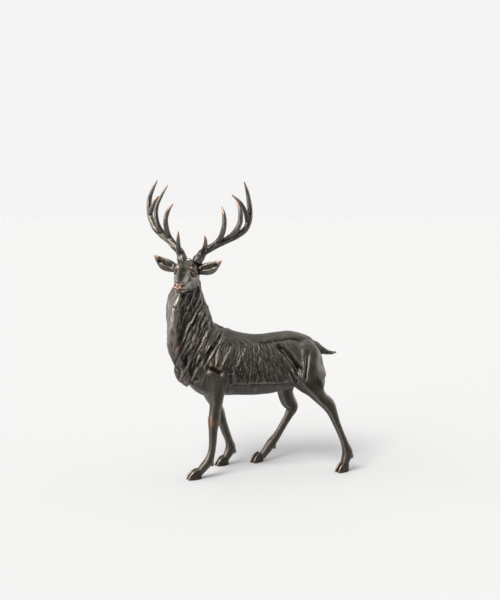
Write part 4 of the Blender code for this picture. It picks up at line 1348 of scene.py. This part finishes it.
def carve(obj, hair_depth):
    """Carves the coat, the folds and the face, and returns the skin, its parts and the hair's ways."""
    rng = np.random.default_rng(HAIR_SEED)
    skin = Skin(obj.data)
    parts = parts_of(skin.co)
    blend_joins(skin, parts)
    bvh = BVHTree.FromObject(obj, bpy.context.evaluated_depsgraph_get())
    tree = search_tree(skin.co)
    locks = list(mane_locks(rng, bvh))
    raised = np.zeros(len(skin.co))
    for row in locks:
        lock(skin, tree, raised, *row)
    share = lock_share(skin, parts)
    raised *= share
    large = [(settle(tree, points), height, width) for height, width, points in LARGE_LOCKS]
    for row in large:
        lock(skin, tree, raised, *row)
    faces = chisel(skin, parts, np.random.default_rng(CHISEL_SEED))
    push = raised + faces * np.clip(1 - raised / CHISEL_UNDER, CHISEL_LEFT, 1)
    for (x, y, z), size, height in PRESSED:
        push += height * np.maximum(spot(skin.co, (x, y, z), size), spot(skin.co, (x, -y, z), size))
    for height, width, both, points in CREASES:
        for side in (1, -1) if both else (1,):
            crease(skin, tree, push, [(x, y * side, z) for x, y, z in points], height, width)
    flank_strokes(skin, tree, bvh, push, rng)
    face(skin, tree, push)
    push -= hem_depth(skin.co) * parts["trunk"]
    hairs = np.zeros(len(skin.co))
    for line, _, width in locks + large:
        lock_hairs(skin, tree, hairs, line, width)
    hairs *= share
    ways = hair_ways(skin, parts)
    engrave_hair(skin, tree, hairs, ways, coat_share(skin, parts), rng)
    push += hairs * hair_depth
    horn_grooves(skin, push, parts)
    leg_faces(skin, push, parts)
    skin.co += skin.normals * push[:, None]
    skin.store()
    return skin, parts, ways


def spot(co, place, size):
    """1 at a place, and fading out round it."""
    return np.exp(-(((co - np.array(place)) ** 2).sum(axis=1) / size**2))


def spots(co, name):
    """The strongest of the named spots at each place; those of the head lie on both of its sides."""
    rows, head_rows = SPOTS[name]
    rows = list(rows)
    for (ahead, out, above), size, strength in head_rows:
        rows += [(head_point(ahead, out * side, above), size, strength) for side in (-1, 1)]
    if name == "rubbed":
        rows += [(frames[-1, :3], *HORN_RUBBED) for part, frames in SPINES if part == "antler"]
    return np.max([strength * spot(co, place, size) for place, size, strength in rows], axis=0)


def marks_of(skin, parts, tree):
    """The named marks that the finish and its painted light and shade are painted from, each from 0 to 1.
    """
    fine, middling, broad = (skin.bumps(rounds) for rounds in (FINE_ROUNDS, MID_ROUNDS, BROAD_ROUNDS))
    z = skin.co[:, 2]
    limbs = np.clip(parts["leg"] + parts["hoof"] + parts["ear"] * EAR_DARK, 0, 1)
    limbs *= np.clip((LIMB_TOP - z) / LIMB_FADE + parts["ear"] * EAR_SHARP, 0, 1)
    marks = {
        "edge": np.maximum((fine - FINE_LEAST) / FINE_FULL, (middling - MID_LEAST) * MID_EDGE),
        "groove": np.maximum((-fine - FINE_LEAST) / FINE_FULL, (-middling - MID_LEAST) * MID_GROOVE),
        "proud": broad / BROAD_FULL,
        "sunk": -broad / BROAD_FULL,
        "horn": parts["antler"] + parts["hoof"],
        "coat": coat_share(skin, parts),
        "satin": parts["trunk"] * (1.0 - limbs),
        "rubbed": spots(skin.co, "rubbed"),
        # Painted highlights on the cheeks, the lit front of the mane and the haunches.
        "pale": spots(skin.co, "pale"),
        # Painted shade in the dark spots, and a darker tone on the legs, the hooves and the ears.
        "dark": np.maximum(spots(skin.co, "dark"), LIMB_DARK * limbs),
    }
    ahead, out, above = EYEBALL
    places = [tree.find(head_point(ahead, out * side, above))[0] for side in (-1, 1)]
    gap = np.min([np.linalg.norm(skin.co - np.array(place), axis=1) for place in places], axis=0)
    for name, size, edge in EYE_RINGS:
        marks[name] = (size - gap) / edge
    return {name: np.clip(values, 0, 1) for name, values in marks.items()}


def keep_marks(obj, tree, marks, ways):
    """Carries the marks and the hair's ways over to the thinned mesh, from the full one's nearest place."""
    near = [tree.find(vert.co)[1] for vert in obj.data.vertices]
    comb = obj.data.attributes.new("comb", "FLOAT_VECTOR", "POINT")
    comb.data.foreach_set("vector", ways[near].astype(np.float32).ravel())
    for name, values in marks.items():
        layer = obj.data.attributes.new(name, "FLOAT", "POINT")
        layer.data.foreach_set("value", values[near].astype(np.float32))


class Nodes:
    """Short calls for laying out nodes."""

    def __init__(self, tree):
        self.tree = tree

    def add(self, kind, **inputs):
        """A node with some of its inputs fed."""
        node = self.tree.nodes.new(kind)
        for key, value in inputs.items():
            self.feed(node.inputs[key.replace("_", " ")], value)
        return node

    def feed(self, socket, value):
        """Links another node's socket, or sets a value; a colour may leave out its alpha."""
        if isinstance(value, bpy.types.NodeSocket):
            self.tree.links.new(value, socket)
        elif hasattr(value, "__len__") and len(value) < len(socket.default_value):
            socket.default_value = (*value, 1.0)
        else:
            socket.default_value = value

    def mark(self, name, output="Fac"):
        """A mark that the mesh carries."""
        node = self.add("ShaderNodeAttribute")
        node.attribute_name = name
        return node.outputs[output]

    def math(self, kind, a, b, clamp=False):
        node = self.tree.nodes.new("ShaderNodeMath")
        node.operation = kind
        node.use_clamp = clamp
        self.feed(node.inputs[0], a)
        self.feed(node.inputs[1], b)
        return node.outputs[0]

    def plus(self, a, b):
        return self.math("ADD", a, b)

    def times(self, a, b):
        return self.math("MULTIPLY", a, b)

    def most(self, a, b):
        return self.math("MAXIMUM", a, b)

    def mix(self, share, a, b):
        """A colour between two others."""
        node = self.tree.nodes.new("ShaderNodeMix")
        node.data_type = "RGBA"
        for key, value in (("Factor", share), ("A", a), ("B", b)):
            self.feed(node.inputs[key], value)
        return node.outputs["Result"]

    def span(self, value, low, high, to_low=0.0, to_high=1.0, kind="LINEAR"):
        """A value that runs between two others as its source runs from low to high."""
        limits = {"From_Min": low, "From_Max": high, "To_Min": to_low, "To_Max": to_high}
        node = self.add("ShaderNodeMapRange", Value=value, **limits)
        node.interpolation_type = kind
        return node.outputs["Result"]

    def noise(self, place, scale, detail):
        node = self.add("ShaderNodeTexNoise", Vector=place, Scale=scale, Detail=detail, Roughness=0.55)
        return node.outputs["Fac"]

    def combed(self, place, scale, step):
        """Noise drawn out along the hair: the mean of seven places along its way."""
        way = self.mark("comb", "Vector")
        total = 0.0
        for k in range(-3, 4):
            shift = self.tree.nodes.new("ShaderNodeVectorMath")
            shift.operation = "MULTIPLY_ADD"
            for socket, value in zip(shift.inputs, (way, (step * k,) * 3, place)):
                self.feed(socket, value)
            total = self.plus(total, self.noise(shift.outputs[0], scale, 1.0))
        return self.math("DIVIDE", total, 7)


def new_material(name):
    """A material with its nodes."""
    material = bpy.data.materials.new(name)
    material.use_nodes = True
    return material, Nodes(material.node_tree)


def rubbed_bronze(colours):
    """Dark bronze-brown patina with soot in the grooves and copper on the edges, and painted light: a grey
    painted sheen on what faces up, a purple-grey painted floor bounce underneath, edges lightened as
    painted highlights, and painted highlights and painted shade in given spots.
    """
    material, n = new_material("rubbed_bronze_iron")
    shader = n.tree.nodes["Principled BSDF"]
    place = n.add("ShaderNodeTexCoord").outputs["Object"]
    facing = n.add("ShaderNodeNewGeometry").outputs["Normal"]
    up = n.add("ShaderNodeSeparateXYZ", Vector=facing).outputs["Z"]

    def covers(name):
        return n.times(n.mark(name), COVER[name])

    cloud = n.noise(place, *CLOUD)
    speck = n.noise(place, *SPECK)
    hair = n.span(n.combed(place, *COMBED_HAIR), *HAIR_SPAN)
    wisps = n.span(n.combed(place, *WISPS), *WISP_SPAN)
    coat = n.span(n.mark("coat"), *COAT_SPAN)
    # Painted sheen: what faces up is painted a lighter grey, as the top light falls on it, in cloudy
    # patches.
    painted_sheen = n.times(n.span(up, *PAINTED_SHEEN_SPAN), n.span(cloud, *CLOUD_SPAN, 0.3, 1.0))
    soot = n.mark("groove")
    for share in (
        covers("sunk"),
        covers("horn"),
        n.times(n.span(hair, 0.7, 0.2), n.times(coat, COVER["hair"])),
        n.mark("socket"),
    ):
        soot = n.most(soot, share)
    # The fine edges: bare rubbed metal, lightened further as a painted highlight.
    edge = n.times(n.mark("edge"), n.span(speck, *SPECK_SPAN, 0.3, 1.0))
    worn = n.plus(n.mark("edge"), covers("proud"))
    worn = n.plus(worn, n.span(cloud, 0.35, 0.7, -0.4, 0.45))
    colour = n.mix(wisps, colours.umber, colours.bronze)
    for share, layer in (
        # Painted floor bounce: the undersides are painted purple-grey.
        (n.span(up, *PAINTED_BOUNCE_SPAN, 0.0, COVER["under"]), colours.painted_bounce),
        # Painted sheen on what faces up.
        (painted_sheen, colours.painted_sheen),
        # The broad raised places take the painted sheen's grey too.
        (covers("proud"), colours.painted_sheen),
        # Painted highlights, in cloudy patches.
        (n.times(n.mark("pale"), n.span(cloud, *CLOUD_SPAN, 0.6, 1.0)), colours.pale),
        # Painted shade, and the limbs' darker tone.
        (covers("dark"), colours.olive),
        (n.times(soot, COVER["soot"]), colours.soot),
        # Worn edges: rubbed bare metal, lightened as a painted highlight.
        (n.times(edge, COVER["edge"]), colours.worn),
        (n.math("MULTIPLY", n.mark("rubbed"), worn, clamp=True), colours.copper),
        (n.mark("iris"), colours.iris),
        (n.mark("pupil"), colours.soot),
    ):
        colour = n.mix(share, colour, layer)
    n.feed(shader.inputs["Base Color"], colour)
    shader.inputs["Metallic"].default_value = 0.9
    rough = n.span(n.noise(place, *STAINS), *CLOUD_SPAN, *ROUGH)
    rough = n.plus(rough, n.times(coat, ROUGH_COAT))
    for name, more in ROUGHER.items():
        rough = n.plus(rough, n.times(n.mark(name), more))
    n.feed(shader.inputs["Roughness"], rough)
    strength, height = GRAIN_BUMP
    rise = n.plus(speck, n.noise(place, *GRAIN))
    grain = n.add("ShaderNodeBump", Strength=strength, Distance=height, Height=rise).outputs["Normal"]
    strength, height = COMB_BUMP
    strength = n.times(coat, strength)
    comb = n.add("ShaderNodeBump", Strength=strength, Distance=height, Height=hair, Normal=grain)
    n.feed(shader.inputs["Normal"], comb.outputs["Normal"])
    return material


def fit_box(obj, low, high):
    """Keeps each vertex within the box of the solid model."""
    co = np.clip(read(obj.data.vertices, "co", 3), low, high)
    obj.data.vertices.foreach_set("co", co.ravel())
    obj.data.update()


def paper(colour):
    """Matt pale paper for the floor."""
    material, n = new_material("studio_paper")
    matt = n.add("ShaderNodeBsdfDiffuse", Color=colour)
    n.feed(n.tree.nodes["Material Output"].inputs["Surface"], matt.outputs[0])
    return material


def studio_air(tree, brightness):
    """An even pale backdrop, in a room that is dim in front of the stag and bright behind and above it."""
    n = Nodes(tree)
    ways = n.add("ShaderNodeSeparateXYZ", Vector=n.add("ShaderNodeTexCoord").outputs["Generated"])
    lit = 0.0
    for axis, (low, dim), (high, bright) in ROOM:
        lit = n.most(lit, n.span(ways.outputs[axis], low, high, dim, bright, "SMOOTHSTEP"))
    room = tree.nodes["Background"]
    n.feed(room.inputs["Strength"], lit)
    n.feed(room.inputs["Color"], (1, 1, 1))
    plain = n.add("ShaderNodeBackground", Strength=brightness, Color=(1, 1, 1))
    seen = n.add("ShaderNodeMixShader")
    ray = n.add("ShaderNodeLightPath").outputs["Is Camera Ray"]
    for socket, value in zip(seen.inputs, (ray, room.outputs[0], plain.outputs[0])):
        n.feed(socket, value)
    n.feed(tree.nodes["World Output"].inputs["Surface"], seen.outputs[0])


def sun(name, strength, azimuth, elevation, width, colour):
    """A soft far light. Azimuth 0 shines from the camera's side, and 90 from the tail's side."""
    light = bpy.data.lights.new(name, "SUN")
    light.energy = strength
    light.angle = math.radians(width)
    light.color = colour
    link(name, light).rotation_euler = (math.radians(90 - elevation), 0, math.radians(azimuth))


class StagSizes(bpy.types.PropertyGroup):
    grain: bpy.props.FloatProperty(
        name="Skin grain",
        description="Size of the squares that the fused skin is made of",
        default=0.8 * MM, min=0.6 * MM, unit="LENGTH", precision=4,
    )
    triangles: bpy.props.IntProperty(
        name="Triangles", description="Triangles that the finished casting keeps",
        default=194000, min=20000,
    )
    hair_depth: bpy.props.FloatProperty(
        name="Hair depth", description="How deep the hair is cut, as a share of its usual depth",
        default=1.0, min=0.0, subtype="FACTOR",
    )


class StagColours(bpy.types.PropertyGroup):
    bronze: bpy.props.FloatVectorProperty(
        name="Bronze", description="The patina's main brown", default=(0.077, 0.065, 0.053),
        subtype="COLOR",
    )
    umber: bpy.props.FloatVectorProperty(
        name="Umber", description="The patina's darker streaks", default=(0.040, 0.032, 0.027),
        subtype="COLOR",
    )
    # Painted sheen: the grey painted onto what faces up and onto the broad raised places.
    painted_sheen: bpy.props.FloatVectorProperty(
        name="Haze", description="The grey-olive haze on the upper faces", default=(0.145, 0.135, 0.115),
        subtype="COLOR",
    )
    # Painted highlight: the grey painted onto the cheeks, the lit front of the mane and the haunches.
    pale: bpy.props.FloatVectorProperty(
        name="Pale", description="The paler patina of the cheeks and the front of the mane",
        default=(0.30, 0.285, 0.265), subtype="COLOR",
    )
    # Painted shade: the colour of the dark spots, and of the limbs' darker tone.
    olive: bpy.props.FloatVectorProperty(
        name="Olive", description="The darker patina of the face and the flank hollow",
        default=(0.024, 0.021, 0.015), subtype="COLOR",
    )
    # Painted floor bounce: the purple-grey painted onto the undersides.
    painted_bounce: bpy.props.FloatVectorProperty(
        name="Plum", description="The purple-grey of the undersides", default=(0.085, 0.080, 0.092),
        subtype="COLOR",
    )
    soot: bpy.props.FloatVectorProperty(
        name="Soot", description="The near black in the grooves", default=(0.012, 0.010, 0.009),
        subtype="COLOR",
    )
    # Worn edges: the rubbed bare metal of the edges, made lighter as a painted highlight.
    worn: bpy.props.FloatVectorProperty(
        name="Worn edges", description="The bare brownish grey of the edges", default=(0.34, 0.30, 0.26),
        subtype="COLOR",
    )
    copper: bpy.props.FloatVectorProperty(
        name="Copper", description="The copper that handling has rubbed bare", default=(0.31, 0.16, 0.105),
        subtype="COLOR",
    )
    iris: bpy.props.FloatVectorProperty(
        name="Iris", description="The amber of the eyes", default=(0.13, 0.07, 0.02), subtype="COLOR",
    )


class StagStudio(bpy.types.PropertyGroup):
    floor: bpy.props.FloatVectorProperty(
        name="Floor", description="Colour of the floor", default=(0.496, 0.496, 0.496), subtype="COLOR",
    )
    sky: bpy.props.FloatProperty(
        name="Sky", description="Brightness of the surroundings", default=0.905, min=0.0,
    )
    key: bpy.props.FloatProperty(
        name="Key light", description="Strength of the large light", default=3.2, min=0.0,
    )


class STAG_OT_casting(bpy.types.Operator):
    """Carve the stag and give it its rubbed patina"""

    bl_idname = "stag.casting"
    bl_label = "Carve the Stag"

    def execute(self, context):
        sizes = context.scene.stag_sizes
        SPINES.clear()
        stag = rough_stag()
        fuse(stag, sizes.grain / MM)
        skin, parts, ways = carve(stag, sizes.hair_depth)
        tree = search_tree(skin.co)
        marks = marks_of(skin, parts, tree)
        trim(stag, sizes.triangles)
        keep_marks(stag, tree, marks, ways)
        fit_box(stag, *(np.array(corner) / MM for corner in cad_box))
        stag.data.transform(Matrix.Scale(MM, 4))
        for face in stag.data.polygons:
            face.use_smooth = True
        stag.data.materials.append(rubbed_bronze(context.scene.stag_colours))
        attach(stag, "root")
        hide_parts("stag")
        return {"FINISHED"}


class STAG_OT_studio(bpy.types.Operator):
    """Lay the pale floor, hang the soft lights and stand the camera"""

    bl_idname = "stag.studio"
    bl_label = "Set the Studio"

    def execute(self, context):
        studio = context.scene.stag_studio
        mesh = bpy.data.meshes.new("studio_floor")
        bm = bmesh.new()
        bmesh.ops.create_circle(bm, cap_ends=True, radius=FLOOR_SIZE, segments=96)
        bm.to_mesh(mesh)
        bm.free()
        floor = link("studio_floor", mesh)
        floor.location.z = -FLOOR_DROP
        floor.data.materials.append(paper(studio.floor))
        world = bpy.data.worlds.new("studio_air")
        world.use_nodes = True
        studio_air(world.node_tree, studio.sky)
        context.scene.world = world
        sun("key_light", studio.key, *KEY_LIGHT)
        camera = bpy.data.cameras.new("camera")
        camera.lens = LENS
        camera.clip_end = SIGHT
        eye = link("camera", camera)
        eye.location = CAMERA_PLACE
        eye.rotation_euler = [math.radians(turn) for turn in CAMERA_TURNS]
        context.scene.camera = eye
        context.scene.view_settings.view_transform = "Standard"
        return {"FINISHED"}


class STAG_PT_sidebar(bpy.types.Panel):
    bl_label = "Cast Iron Stag"
    bl_idname = "STAG_PT_sidebar"
    bl_space_type = "VIEW_3D"
    bl_region_type = "UI"
    bl_category = "Stag"

    def draw(self, context):
        for heading, group, operator in (
            ("Casting", context.scene.stag_sizes, STAG_OT_casting),
            # The patina's colours, with those of the painted sheen, floor bounce, highlights and shade.
            ("Patina", context.scene.stag_colours, None),
            ("Studio", context.scene.stag_studio, STAG_OT_studio),
        ):
            column = self.layout.column()
            column.label(text=heading)
            for name in group.__annotations__:
                column.prop(group, name)
            if operator:
                column.operator(operator.bl_idname)


CLASSES = (StagSizes, StagColours, StagStudio, STAG_OT_casting, STAG_OT_studio, STAG_PT_sidebar)
GROUPS = {"stag_sizes": StagSizes, "stag_colours": StagColours, "stag_studio": StagStudio}


def register():
    for kind in CLASSES:
        bpy.utils.register_class(kind)
    for name, kind in GROUPS.items():
        setattr(bpy.types.Scene, name, bpy.props.PointerProperty(type=kind))


def unregister():
    for name in GROUPS:
        delattr(bpy.types.Scene, name)
    for kind in reversed(CLASSES):
        bpy.utils.unregister_class(kind)


def main():
    register()
    bpy.ops.stag.casting()
    bpy.ops.stag.studio()


if __name__ == "__main__":
    main()
